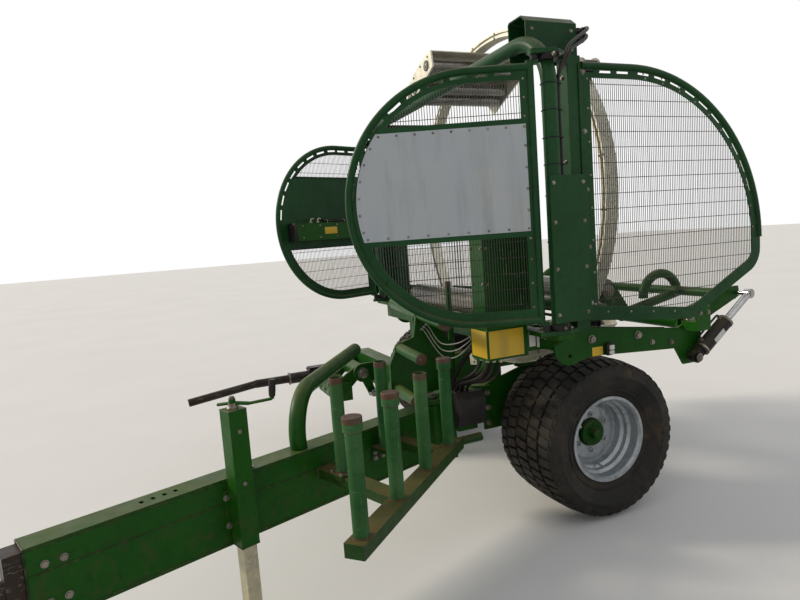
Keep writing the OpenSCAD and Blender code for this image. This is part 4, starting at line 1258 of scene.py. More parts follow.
@dataclass
class RearGuards:
    """Fixed rear guards: grilles, rivets and the tacks of their edge tubes."""

    plane: float = 1190.0
    front: float = -195.0
    low: float = 1105.0
    slope: float = 0.106
    centre: Flat = (140.0, 1450.0)
    radius: float = 920.0
    tip: float = 150.0
    rear_corner: Flat = (510.0, 1030.0)
    grille_plane: float = 4.8

    def outline(self, inset: float) -> list[Flat]:
        """Outline that lies inside the guard's own.

        Args:
            inset: How far inside.

        Returns:
            Its corners as [distance behind the axle, height].
        """
        r = self.radius - inset
        front = self.front + inset
        y, z = self.centre
        shoulder = arc((y + self.radius - self.tip, z - 60), self.tip - inset, 0, -60, 6)
        return [(front, self.low + inset), (front, z + r), *arc(self.centre, r, 90, 0, 30), *shoulder,
                (self.rear_corner[0], self.rear_corner[1] + inset)]

    def rivet_places(self) -> list[Flat]:
        """Places of one guard's rivets.

        Returns:
            The places as [distance behind the axle, height].
        """
        upright = [(self.front + 58, z) for z in (1190, 1350, 1510, 1670, 1830, 1990, 2150, 2290)]
        bent = arc(self.centre, self.radius - 64, 84, 4, 10)
        lower = [(y, self.low + 52 - (y - self.front) * self.slope) for y in (-60, 90, 240, 390)]
        return [*upright, *bent, *lower]

    def build(self) -> None:
        """Makes the guards' pieces."""
        wires = Shape()
        rivets = Shape()
        seams = Shape()
        for side in (1, -1):
            inner = self.plane - self.grille_plane
            Grille(self.outline(58)).wires(wires, lambda y, z, w: (side * (inner - w), y, z))
            axis = Axis.outward(side)
            face = side * (self.plane + 3)
            for y, z in self.rivet_places():
                rivets.rivet((face, y, z), axis)
            for z in (1200, 1480, 1760, 2040, 2320):
                rivets.bolt((face, self.front + 30, z), axis, 12)
            low, high = face - side * 1, face + side * 1.5
            for y, z in arc(self.centre, self.radius - 35, 85, 5, 10):
                seams.tube([(low, y, z - 13), (high, y, z), (low, y, z + 13)], 2.8, 6)
        grilles = wires.piece("rear_guard_wires", "machine_frame", Finish.WIRE, "wire_mesh")
        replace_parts(grilles, "rear_guard_meshes")
        rivets.piece("rear_guard_rivets", "machine_frame", Finish.BOLT, "bare_steel")
        seams.piece("rear_guard_tacks", "machine_frame", Finish.WELD, "guard_paint")


@dataclass
class ArchTrim:
    """Clamps round the arch's legs, weld seams, the motor's fasteners and its hoses with their ties."""

    leg: Flat = (1205.0, -370.0)
    tube: float = 38.0
    low: float = 1094.0
    high: float = 2360.0
    clamp: float = 26.0
    motor_at: Point = (998.0, 10.3, 2555.0)
    motor_plate: float = -49.8
    hose: float = 7.5
    tie_heights: tuple[float, ...] = (1300, 1520, 1740, 1885, 2009, 2136, 2257)

    def clamps(self) -> None:
        """Two-part clamps over the lower and under the upper hinge bracket."""
        bands = Shape()
        bolts = Shape()
        profile = [(39, 0), (49, 0), (50, 1.5), (50, self.clamp - 1.5), (49, self.clamp), (39, self.clamp)]
        for side in (1, -1):
            x, y = side * self.leg[0], self.leg[1]
            for z in (self.low, self.high):
                bands.turned(profile, (x, y, z), Axis.Z, 40)
                for out in (-1, 1):
                    near, far = sorted((x + out * 46, x + out * 74))
                    for low, high in ((y - 12, y - 1.5), (y + 1.5, y + 12)):
                        bands.block((near, low, z), (far, high, z + self.clamp), 2)
                    bolts.bolt((x + out * 62, y - 12, z + self.clamp / 2), Axis.FRONT, 10)
                    bolts.bolt((x + out * 62, y + 12, z + self.clamp / 2), Axis.Y, 10, 8)
        bands.piece("arch_clamps", "machine_frame", Finish.BLACK, "black_paint")
        bolts.piece("arch_clamp_bolts", "machine_frame", Finish.BOLT, "bare_steel")

    def motor(self) -> None:
        """Screws and unions of the ring's motor, and its two hoses down the left leg."""
        x, y, z = self.motor_at
        fasteners = Shape()
        for cover, mount in zip(spaced((x, z), 4, 45, 21), spaced((x, z), 4, 45, 26, 25)):
            fasteners.bolt((cover[0], y, cover[1]), Axis.Y, 7)
            fasteners.bolt((mount[0], self.motor_plate, mount[1]), Axis.FRONT, 8)
        fasteners.turned([(11, 0), (11, 5), (8, 7)], self.motor_at, Axis.Y, 24)
        hoses = Shape()
        ties = Shape()
        routes = (
            [(1050, -39, 2571), (1095, -44, 2566), (1150, -90, 2535), (1205, -190, 2480),
             (1239, -272, 2428), (1240, -292, 2392), (1224, -316, 2325), (1213, -323, 2250),
             (1213, -323, 1960), (1213, -323, 1660), (1213, -323, 1380), (1212, -321, 1250),
             (1196, -312, 1178), (1130, -318, 1148), (1060, -362, 1156), (1020, -385, 1160)],
            [(1050, -39, 2539), (1090, -44, 2532), (1140, -90, 2498), (1190, -180, 2450),
             (1221, -250, 2415), (1222, -266, 2388), (1207, -304, 2320), (1196, -323, 2240),
             (1196, -323, 1960), (1196, -323, 1660), (1196, -323, 1380), (1195, -321, 1250),
             (1176, -314, 1202), (1115, -335, 1182), (1060, -385, 1188), (1020, -410, 1192)])
        union = [(11, -1), (11, 9), (8.5, 10), (8.5, 14), (10.5, 14.5), (10.5, 32), (8, 33)]
        for route in routes:
            hoses.tube(smooth(route, 5), self.hose, 12)
            for start in ((1031.5, -39, route[0][2]), (1000, *route[-1][1:])):
                fasteners.turned(union, start, Axis.X, 6)
        for height in self.tie_heights:
            loop = [*arc(self.leg, 40.5, 152, 388, 18), *arc((1204.5, -323.5), 18.5, 36, 144, 8)]
            ties.tube([(*p, height) for p in loop], 2.4, 6, closed=True)
            ties.block((1218, -334, height - 5), (1227, -318, height + 5), 1.5)
        fasteners.piece("motor_fasteners", "machine_frame", Finish.BOLT, "bare_steel")
        hoses.piece("motor_hoses", "machine_frame", Finish.HOSE, "hose_rubber")
        ties.piece("motor_hose_ties", "machine_frame", Finish.PLASTIC, "black_paint")

    def seams(self) -> None:
        """Weld seams at the brackets, posts and the drive housing."""
        made = Shape()
        for side in (1, -1):
            for z in (1088.6, 2388.8, 2409.5):
                made.ring_weld(Axis.Z, z, (side * self.leg[0], self.leg[1]), self.tube + 1.5, 4)
            post = side * 1187.5
            for z in (1150, 1400, 1700, 2000, 2300):
                made.weld([(post, -247, z), (post, -247, z + 60)], 3.5)
        made.weld([(1048, -372, 2438), (1048, -372, 2598), (1010, -372, 2631)], 2.5)
        made.piece("arch_welds", "machine_frame", Finish.WELD, "guard_paint")

    def bolts(self) -> None:
        """Bolts of the posts, the columns and the drive housing."""
        made = Shape()
        for side in (1, -1):
            axis = Axis.outward(side)
            for z in (1170, 1390, 1610, 1795):
                for y in (-405, -235):
                    made.bolt((side * 1252, y, z), axis, 9)
            for z in (1130, 1500, 1900, 2300):
                made.bolt((side * 1150, -250, z), Axis.FRONT, 10)
        for y in (-340, -105):
            for z in (2470, 2560):
                made.bolt((1048, y, z), Axis.X, 9)
        for x in (912, 1025):
            for z in (2450, 2590):
                made.bolt((x, -70, z), Axis.Y, 9)
        made.bolt((940, -70, 2420.6), Axis.Y, 22)
        made.piece("arch_bolts", "machine_frame", Finish.BOLT, "bare_steel")

    def build(self) -> None:
        """Makes the arch's pieces."""
        self.clamps()
        self.motor()
        self.seams()
        self.bolts()


@dataclass
class RingTrim:
    """Bolts of the wrapping ring, its guide rollers' flanges and the gears of its dispensers."""

    radius: float = 1100.0
    height: float = 1775.0
    middle: float = 80.0
    half_width: float = 40.0
    shell: float = 1040.0
    span: float = 760.0
    turns: tuple[float, ...] = (114, 294)
    guides: tuple[Flat, ...] = ((940.0, 2420.6), (-940.0, 2420.6), (873.5, 1042.0), (-873.5, 1042.0))
    rollers: tuple[tuple[float, float, float], ...] = ((975, -190, 33), (970, 40, 40), (955, 140, 36))

    def gear(self, made: Shape, at: Flat, radius: float, teeth: int) -> None:
        """Adds a spur gear that lies on a dispenser's front plate.

        Args:
            made: The shape.
            at: Its middle.
            radius: Its pitch circle's radius.
            teeth: Number of its teeth.
        """
        low, high = radius - 4, radius + 2
        outline = []
        for k in range(teeth):
            for share, r in ((0.0, low), (0.18, high), (0.42, high), (0.6, low)):
                a = 2 * math.pi * (k + share) / teeth
                outline.append((at[0] + r * math.cos(a), at[1] + r * math.sin(a)))
        made.plate(outline, -7.5, 0.4, Axis.Y)
        made.turned([(13, 0), (13, 2), (9, 3)], (at[0], -7.5, at[1]), Axis.FRONT, 6)

    def bolts(self) -> None:
        """Bolts round both faces of the ring."""
        made = Shape()
        for k in range(24):
            a = math.radians(15 * k + 6)
            for r in (self.radius - 6, self.radius - 34):
                x, z = -r * math.cos(a), self.height + r * math.sin(a)
                made.bolt((x, self.middle - self.half_width, z), Axis.FRONT, 6)
                made.bolt((x, self.middle + self.half_width, z), Axis.Y, 6)
        made.piece("ring_bolts", "ring", Finish.BOLT, "bare_steel")

    def dispenser(self, number: int, angle: float) -> None:
        """Gears, bolts and seams of one dispenser.

        Args:
            number: Its number.
            angle: Its place on the ring in degrees.
        """
        centre = Matrix.Translation((0, self.middle - 380, self.height))
        place = MACHINE @ centre @ Matrix.Rotation(math.radians(-angle), 4, "Y")
        gears = Shape(place)
        for x, z, r in self.rollers:
            self.gear(gears, (x, z), r, 22 if r < 39 else 26)
        gears.piece(f"dispenser_gears_{number}", "ring", Finish.ROLLER, "bare_steel")
        bolts = Shape(place)
        for turn in (-13, -6, 1, 8, 13):
            a = math.radians(turn)
            for y, axis in ((0, Axis.FRONT), (self.span, Axis.Y)):
                bolts.bolt((self.shell * math.cos(a), y, self.shell * math.sin(a)), axis, 7)
        for x, z, _ in self.rollers:
            bolts.turned([(17, 0), (17, 4), (12, 6)], (x, self.span, z), Axis.Y, 20)
        bolts.piece(f"dispenser_bolts_{number}", "ring", Finish.BOLT, "bare_steel")
        seams = Shape(place)
        for y in (13, self.span - 13):
            seams.weld([Axis.Y.lay(p, y) for p in arc((0, 0), self.shell + 12, -15, 15, 15)], 3.5)
        seams.piece(f"dispenser_welds_{number}", "ring", Finish.RING, "ring_metal")

    def flanges(self) -> None:
        """Flanges and nuts of the rollers that carry the ring."""
        made = Shape()
        for x, z in self.guides:
            for y in (30, 122.5):
                made.turned([(30, 0), (49, 0), (50, 1), (50, 6), (49, 7), (30, 7)], (x, y, z), Axis.Y, 36)
            made.turned([(16, 0), (16, 6), (11, 9)], (x, 129.5, z), Axis.Y, 6)
        made.piece("guide_roller_flanges", "machine_frame", Finish.ROLLER, "bare_steel")

    def build(self) -> None:
        """Makes the ring's pieces."""
        self.bolts()
        for number, angle in enumerate(self.turns, 1):
            self.dispenser(number, angle)
        self.flanges()


@dataclass
class ValveTrim:
    """Blank labels and screws of the valve housing, ferrules of its hoses and thin cables beside it."""

    out: float = 1000.0
    front: float = -660.0
    low: float = 940.0
    high: float = 1100.0
    sticker: float = 0.8
    hose_pitch: float = 27.0

    def stick(self, made: Shape, low: Flat, high: Flat) -> None:
        """Adds a sticker on the face that looks to the left.

        Args:
            made: The shape.
            low: Its lowest corner as [y, z].
            high: Its highest corner.
        """
        start = self.out + 0.1
        made.block((start, *low), (start + self.sticker, *high), 0.3)

    def labels(self) -> None:
        """Blank stickers on the housing and on the sill's end."""
        yellow = Shape()
        bottom, top = self.low + 11, self.high - 9
        self.stick(yellow, (-651, bottom), (-446, top))
        yellow.block((839, self.front - 0.9, bottom), (991, self.front - 0.1, top), 0.3)
        yellow.piece("valve_labels", "machine_frame", Finish.YELLOW, "panel_white")
        white = Shape()
        self.stick(white, (-413, 982), (-374, 1062))
        self.stick(white, (-366, 974), (-350, 1062))
        white.piece("sill_labels", "machine_frame", Finish.WHITE, "panel_white")

    def screws(self) -> None:
        """Screws of the housing, the column, the sill's end and the guard's shelf."""
        made = Shape()
        for x in (835, 995):
            for z in (self.low + 6, self.high - 5):
                made.bolt((x, self.front, z), Axis.FRONT, 4)
        for z in (1150, 1330, 1510, 1700):
            for x in (884, 986):
                made.bolt((x, self.front, z), Axis.FRONT, 8)
            for y in (-640, -350):
                made.bolt((self.out, y, z), Axis.X, 8)
        for x in (1022, 1050):
            made.bolt((x, -345.4, 1028), Axis.FRONT, 10)
        for x in (1030, 1085, 1140):
            made.bolt((x, -350, 1068), Axis.Z, 12)
            made.bolt((x, -350, 1046), Axis.DOWN, 12, 8)
        made.piece("valve_screws", "machine_frame", Finish.BOLT, "bare_steel")

    def ferrules(self) -> None:
        """Pressed ferrules and unions at both ends of the hoses under the housing."""
        made = Shape()
        pressed = [(13, 0), (13, 11), (11.4, 12), (11.4, 24), (12, 25), (12, 38), (9, 40)]
        union = [(13, -1), (13, 9), (11.4, 10), (11.6, 22), (9, 23)]
        for i in range(6):
            row = self.hose_pitch * (i % 3)
            made.turned(pressed, (852 + 20 * i, -615 + row, 955), Axis.DOWN, 12)
            made.turned(union, (600 + 15 * i, -675 + row, 700.5), Axis.Z, 12)
        made.piece("hose_ferrules", "machine_frame", Finish.FITTING, "bare_steel")

    def cables(self) -> None:
        """Thin pale cables and a black loom that hang from the tubes to the housing, each cable with a collar
        at the tubes.
        """
        made = Shape()
        for k, sag in enumerate((60, 95, 130)):
            y, z = -772 - 14 * k, 1092 - 12 * k
            route = [(832, -600 + 18 * k, 1062), (790, -615 + 18 * k, 1050), (700, -672, 1056 - sag),
                     (600, -728, 1052 - sag), (530, y + 7, z - 8), (509, y, z)]
            made.tube(smooth(route, 7), 3.2, 8)
            made.turned([(8, -1), (8, 5), (5, 8)], (510, y, z), Axis.X, 12)
        made.piece("sensor_cables", "machine_frame", Finish.CABLE, "hose_rubber")
        loom = Shape()
        thick = [(832, -560, 1010), (780, -575, 1000), (690, -600, 930), (600, -640, 800), (575, -660, 735),
                 (575, -665, 699)]
        thin = [(832, -530, 1030), (770, -545, 1015), (660, -570, 950), (560, -600, 830), (545, -640, 740),
                (545, -645, 699)]
        loom.tube(smooth(thick, 8), 11, 12)
        loom.tube(smooth(thin, 8), 8, 12)
        loom.piece("valve_loom", "machine_frame", Finish.HOSE, "hose_rubber")

    def build(self) -> None:
        """Makes the housing's pieces."""
        self.labels()
        self.screws()
        self.ferrules()
        self.cables()


@dataclass
class TubeTrim:
    """End caps and weld seams of the tubes over the swing pin."""

    bars: tuple[tuple[Point, Point, float], ...] = (((-188, -679, 1154), (950, -862, 1154), 38.0),
                                                    ((488, -935, 975), (870, -971, 975), 30.0),
                                                    ((406, -955, 748), (818, -993, 748), 30.0))
    plate: tuple[float, float] = (487, 513)
    posts: tuple[tuple[float, float, float], ...] = ((190, -690, 25), (500, -610, 17))
    post_foot: float = 701.0

    def build(self) -> None:
        """Makes the pieces."""
        caps = Shape()
        seams = Shape()
        for start, end, r in self.bars:
            a, b = Vector(start), Vector(end)
            along = (b - a).normalized()
            for tip, way in ((a, -along), (b, along)):
                cap = [tip - way * 2, tip + way * 1, tip + way * 3, tip + way * 4]
                caps.tube(cap, lambda t, r=r: r * (1.01 - 0.35 * t ** 3), 32)
            for x in self.plate:
                here = a + along * ((x - a.x) / along.x)
                if here.x > a.x + 5:
                    seams.ring_weld(Axis.X, here.x, (here.y, here.z), r + 1, 3.5)
        for x, y, r in self.posts:
            seams.ring_weld(Axis.Z, self.post_foot, (x, y), r + 1, 3.5, 24)
        caps.turned([(17.2, -30), (17.2, 1), (14, 3)], (500, -610, 1320.3), Axis.Z, 24)
        caps.piece("tube_end_caps", "machine_frame", Finish.RUSTY, "dark_steel")
        seams.piece("tube_welds", "machine_frame", Finish.WELD, "green_paint")


@dataclass
class ChassisTrim:
    """Weld seams, bolts and grease nipples of the chassis, the loader's lugs and the rollers' bearings."""

    seam: float = 4.5
    thin: float = 3.5
    inner: float = 445.0
    outer: float = 555.0
    below: float = 521.0
    above: float = 681.0
    post_top: float = 959.0

    def side_seams(self, made: Shape, side: int) -> None:
        """Adds the seams that both sides have.

        Args:
            made: The shape.
            side: 1 on the left, -1 on the right.
        """
        inner, outer = side * self.inner, side * self.outer
        front, back = -420, -320
        for x in (inner, outer):
            made.weld([(x, front, self.above), (x, back, self.above)], self.seam)
            made.weld([(x, front, self.post_top), (x, back, self.post_top)], self.seam)
            made.weld([(x, -580, self.below + 1), (x, -580, self.above - 3)], self.seam)
        for y, z in ((front, self.above), (back, self.above), (front, self.post_top)):
            made.weld([(inner, y, z), (outer, y, z)], self.seam)
        made.weld([(side * 1001, -410, 1046), (side * 1001, -322, 1046)], self.seam)
        made.weld([(side * 1001, -346, 962), (side * 1001, -346, 1044)], self.thin)
        for y in (-51, 51):
            made.weld([(inner, y, self.below), (outer, y, self.below)], self.seam)
        made.weld([(outer, -50, self.below), (outer, 50, self.below)], self.seam)
        made.weld([(side * 1073, -319, 1036), (side * 1073, -262, 1036)], self.thin)
        for z in (960, 1011):
            made.weld([(side * 1087, 562, z), (side * 1087, 608, z)], self.thin)

    def seams(self) -> None:
        """Weld seams between the beams, posts, plates and lugs."""
        made = Shape()
        for side in (1, -1):
            self.side_seams(made, side)
        for z in (self.below, self.above - 3):
            made.weld([(490, -704, z), (640, -704, z)], self.seam)
        for x in (-1091, -1069, -671, -649):
            made.weld([(x, -700, 535), (x, -700, 668)], self.seam)
        made.weld([(570, -458, 432), (570, -458, 694)], self.thin)
        made.weld([(self.outer, -455, self.above), (self.outer, -80, self.above)], self.thin)
        made.weld([Axis.Z.lay(p, 679.5) for p in arc((520, -450), 66, 180, 360, 20)], self.thin)
        made.piece("chassis_welds", "machine_frame", Finish.WELD, "green_paint")

    def bolts(self) -> None:
        """Bolts of the deep plate, the side plates' feet, the bearings and the link to the rear guards."""
        made = Shape()
        for y, heights in ((-430, (470, 560, 650)), (-300, (470,)), (-130, (540, 640, 735))):
            for z in heights:
                made.bolt((569, y, z), Axis.X, 16)
        for side in (1, -1):
            for x in (960, 1020):
                made.bolt((side * x, -290, 1038), Axis.Z, 14)
            for y in (580, 640):
                made.bolt((side * 1187, y, 1060), Axis.outward(side), 12)
            made.bearing(side, FRONT_ROLLER, 50, 34, 42, 9)
            nipple = [(3.5, -1), (3.5, 5), (2, 6), (2, 9), (3, 10), (1, 13)]
            y, z = FRONT_ROLLER
            made.turned(nipple, (side * (BEARING_FACE + 16), y, z + 17), Axis.Z, 8)
        for x, way in ((-1091, Axis.RIGHT), (-649, Axis.X)):
            made.turned([(44, -1), (44, 7), (31, 9)], (x, *LOADER_PIVOT), way, 32)
        made.bolt((*SWING_PIN, 688), Axis.Z, 30)
        made.bolt((*SWING_PIN, 322), Axis.DOWN, 30)
        made.piece("chassis_bolts", "machine_frame", Finish.BOLT, "bare_steel")

    def build(self) -> None:
        """Makes the chassis's pieces."""
        self.seams()
        self.bolts()


@dataclass
class SidePlateTrim:
    """Bolts, blank labels and the marker lamp on each side plate."""

    face: float = 1086.0
    plate_bolts: tuple[tuple[float, float, float], ...] = ((-82, 990, 20), (231, 972, 20), (40, 940, 10),
                                                            (330, 920, 14), (470, 900, 14), (-220, 1050, 10))

    def box(self, made: Shape, side: int, low: Point, high: Point, cut: float) -> None:
        """Adds a box on a side plate.

        Args:
            made: The shape.
            side: 1 on the left, -1 on the right.
            low: Its lowest corner as [distance off the plate, y, z].
            high: Its highest corner.
            cut: Width of its cut edges.
        """
        near, far = sorted((side * (self.face + low[0]), side * (self.face + high[0])))
        made.block((near, *low[1:]), (far, *high[1:]), cut)

    def bolts(self) -> None:
        """Bolts of both plates and the rings of the table's pivot."""
        made = Shape()
        for side in (1, -1):
            axis = Axis.outward(side)
            for y, z, size in self.plate_bolts:
                made.bolt((side * self.face, y, z), axis, size)
            made.turned([(34, -1), (34, 5), (27, 7)], (side * self.face, *TABLE_PIVOT), axis, 32)
            for place in spaced(TABLE_PIVOT, 3, 90, 46, 30):
                made.bolt((side * self.face, *place), axis, 9)
        made.piece("side_plate_bolts", "machine_frame", Finish.BOLT, "bare_steel")

    def labels(self) -> None:
        """Blank stickers beside the lamps."""
        made = Shape()
        for side in (1, -1):
            self.box(made, side, (0.1, -82, 897), (0.9, -12, 944), 0.3)
        made.piece("side_plate_labels", "machine_frame", Finish.YELLOW, "panel_white")

    def lamps(self) -> None:
        """Cases of the marker lamps with two lenses each."""
        cases = Shape()
        lenses = Shape()
        for side in (1, -1):
            self.box(cases, side, (0, -2, 893), (26, 42, 957), 5)
            self.box(cases, side, (22, 2, 897), (30, 38, 953), 3)
            self.box(lenses, side, (28, 4, 925), (41, 36, 950), 4)
            self.box(lenses, side, (28, 4, 900), (39, 36, 921), 4)
        cases.piece("marker_lamp_cases", "machine_frame", Finish.PLASTIC, "black_paint")
        lenses.piece("marker_lamp_lenses", "machine_frame", Finish.CLEAR, "panel_white")

    def seams(self) -> None:
        """Seams of the upper fold and of the ram's bracket."""
        made = Shape()
        for side in (1, -1):
            x = side * (self.face + 1)
            made.weld([(x, -200, 1069), (x, 100, 1031), (x, 420, 990)], 3.5)
            made.weld([(x, 575, 830), (x, 625, 830)], 3.5)
            made.ring_weld(Axis.X, x, TABLE_RAM_FOOT, 17, 3, 24)
        made.piece("side_plate_welds", "machine_frame", Finish.WELD, "green_paint")

    def build(self) -> None:
        """Makes the side plates' pieces."""
        self.bolts()
        self.labels()
        self.lamps()
        self.seams()


@dataclass
class Ram:
    """Line of a hydraulic ram, with the fittings on its barrel."""

    foot: Vector
    eye: Vector
    over: Vector

    def at(self, distance: float, out: float = 0.0) -> Vector:
        """Point at a distance from the foot, and out from the middle line."""
        return self.foot + (self.eye - self.foot).normalized() * distance + self.over * out

    def gland(self, made: Shape, start: float, end: float, radius: float) -> None:
        """Adds a ring round the barrel.

        Args:
            made: The shape.
            start: Where it starts, from the foot.
            end: Where it ends.
            radius: Its radius.
        """
        made.tube([self.at(d) for d in (start, start + 1, end - 1, end)], radius, 32)

    def union(self, made: Shape, distance: float, low: float, high: float, radius: float) -> None:
        """Adds a hose union that stands on the barrel, with a neck that is 3 mm slimmer.

        Args:
            made: The shape.
            distance: Its place along the ram, from the foot.
            low: Where it starts, from the middle line.
            high: Where it ends.
            radius: Its radius.
        """
        path = [self.at(distance, out) for out in (low, low + 14, low + 14.5, high)]
        made.tube(path, lambda t: radius if t < 0.5 else radius - 3, 8)


@dataclass
class TableTrim:
    """Glands, pipes and pins of the table's rams, the rear roller's bearings and the table's weld seams."""

    ram: float = 1133.0
    eye: Flat = (1030.0, 1120.0)
    ports: tuple[float, float] = (92, 272)

    def side_ram(self, side: int) -> Ram:
        """The ram on one side.

        Args:
            side: 1 on the left, -1 on the right.

        Returns:
            The ram.
        """
        foot, eye = Vector((side * self.ram, *TABLE_RAM_FOOT)), Vector((side * self.ram, *self.eye))
        along = (eye - foot).normalized()
        return Ram(foot, eye, Vector((0, -along.z, along.y)))

    def rams(self) -> None:
        """Glands, pipes and blank labels of both rams."""
        glands = Shape()
        pipes = Shape()
        labels = Shape()
        low, high = self.ports
        for side in (1, -1):
            ram = self.side_ram(side)
            ram.gland(glands, 286, 301, 43.5)
            ram.gland(glands, 60, 72, 43)
            for port in self.ports:
                ram.union(glands, port, 38, 62, 12)
            route = ((low, 60), (low + 8, 72), (low + 40, 74), (high - 40, 74), (high - 8, 72), (high, 60))
            pipes.tube(smooth([tuple(ram.at(*place)) for place in route], 6), 6, 10)
            corners = [ram.at(*place) for place in ((135, -14), (225, -14), (225, 14), (135, 14))]
            ends = [Vector((side * off, 0, 0)) for off in (39.5, 41.9)]
            labels.rings([[corner + end for corner in corners] for end in ends])
        glands.piece("table_ram_glands", "table_barrels", Finish.BOLT, "bare_steel")
        pipes.piece("table_ram_pipes", "table_barrels", Finish.HOSE, "hose_rubber")
        labels.piece("table_ram_labels", "table_barrels", Finish.WHITE, "panel_white")

    def pins(self) -> None:
        """Caps of the rams' foot pins and the rear roller's bearings."""
        pins = Shape()
        bearings = Shape()
        for side in (1, -1):
            pins.turned([(24, 0), (24, 5), (18, 7)], (side * 1159.5, *TABLE_RAM_FOOT), Axis.outward(side), 24)
            bearings.bearing(side, REAR_ROLLER, 46, 33, 39, 8)
        pins.piece("table_ram_pin_caps", "machine_frame", Finish.BOLT, "bare_steel")
        bearings.piece("rear_roller_bearings", "table", Finish.BOLT, "bare_steel")

    def seams(self) -> None:
        """Seams round the pivot tube, the cross tubes and the levers."""
        made = Shape()
        for side in (1, -1):
            for x in (551, 1028, 1044):
                made.ring_weld(Axis.X, side * x, TABLE_PIVOT, 51, 4)
            for x in (529, 591):
                made.weld([(side * x, 1060, 1100), (side * x, 1080, 1108)], 4)
            for y, z in ((790, 1048), (1090, 1096)):
                made.ring_weld(Axis.Z, z, (side * 560, y), 31, 3.5, 24)
        made.piece("table_welds", "table", Finish.WELD, "green_paint")

    def build(self) -> None:
        """Makes the table's pieces."""
        self.rams()
        self.pins()
        self.seams()


@dataclass
class LoaderTrim:
    """Bolts, rings and seams of the loader, and the fittings of its ram."""

    ram_foot: Point = (-598.0, -250.0, 430.0)
    ram_eye: Point = (-598.0, -735.0, 450.0)
    barrel_share: float = 0.75

    def bolts(self) -> None:
        """Bolts of the arm's plates and rings of its pivot."""
        made = Shape()
        for x in (-1140, -1000, -860, -740):
            for z in (440, 500):
                made.bolt((x, -1005, z), Axis.FRONT, 16)
        for x in (-1120, -960):
            made.bolt((x, -940, 540), Axis.Z, 18, 10)
        for x, way in ((-1110, Axis.RIGHT), (-624, Axis.X)):
            made.turned([(36, -2), (36, 4), (30, 7)], (x, *LOADER_PIVOT), way, 32)
        for z in (415, 525):
            for y in (-1020, -880):
                made.bolt((-1460, y, z), Axis.RIGHT, 16)
        made.turned([(52, 0), (52, 10), (46, 12)], (-1420, -1193, 470), Axis.FRONT, 40)
        made.piece("loader_bolts", "loader", Finish.BOLT, "bare_steel")

    def seams(self) -> None:
        """Seams of the lugs, the pivot tube and the arm's end."""
        made = Shape()
        for x in (-1051, -1029, -721, -699):
            made.weld([(x, -1000, 540), (x, -880, 540)], 4)
        for x in (-1060, -680):
            made.ring_weld(Axis.X, x, LOADER_PIVOT, 56, 4)
        made.weld([(-1180, -1004, 539), (-1180, -876, 539)], 3.5)
        made.piece("loader_welds", "loader", Finish.WELD, "green_paint")

    def ram(self) -> None:
        """Gland, foot ring and unions of the ram."""
        made = Shape()
        ram = Ram(Vector(self.ram_foot), Vector(self.ram_eye), Vector(Axis.DOWN.value))
        mouth = (ram.eye - ram.foot).length * self.barrel_share
        ram.gland(made, mouth - 14, mouth + 2, 33.5)
        ram.gland(made, 46, 58, 33.5)
        for port in (75, mouth - 32):
            ram.union(made, port, 28, 50, 11)
        made.piece("loader_ram_glands", "loader_barrel", Finish.BOLT, "bare_steel")

    def build(self) -> None:
        """Makes the loader's pieces."""
        self.bolts()
        self.seams()
        self.ram()


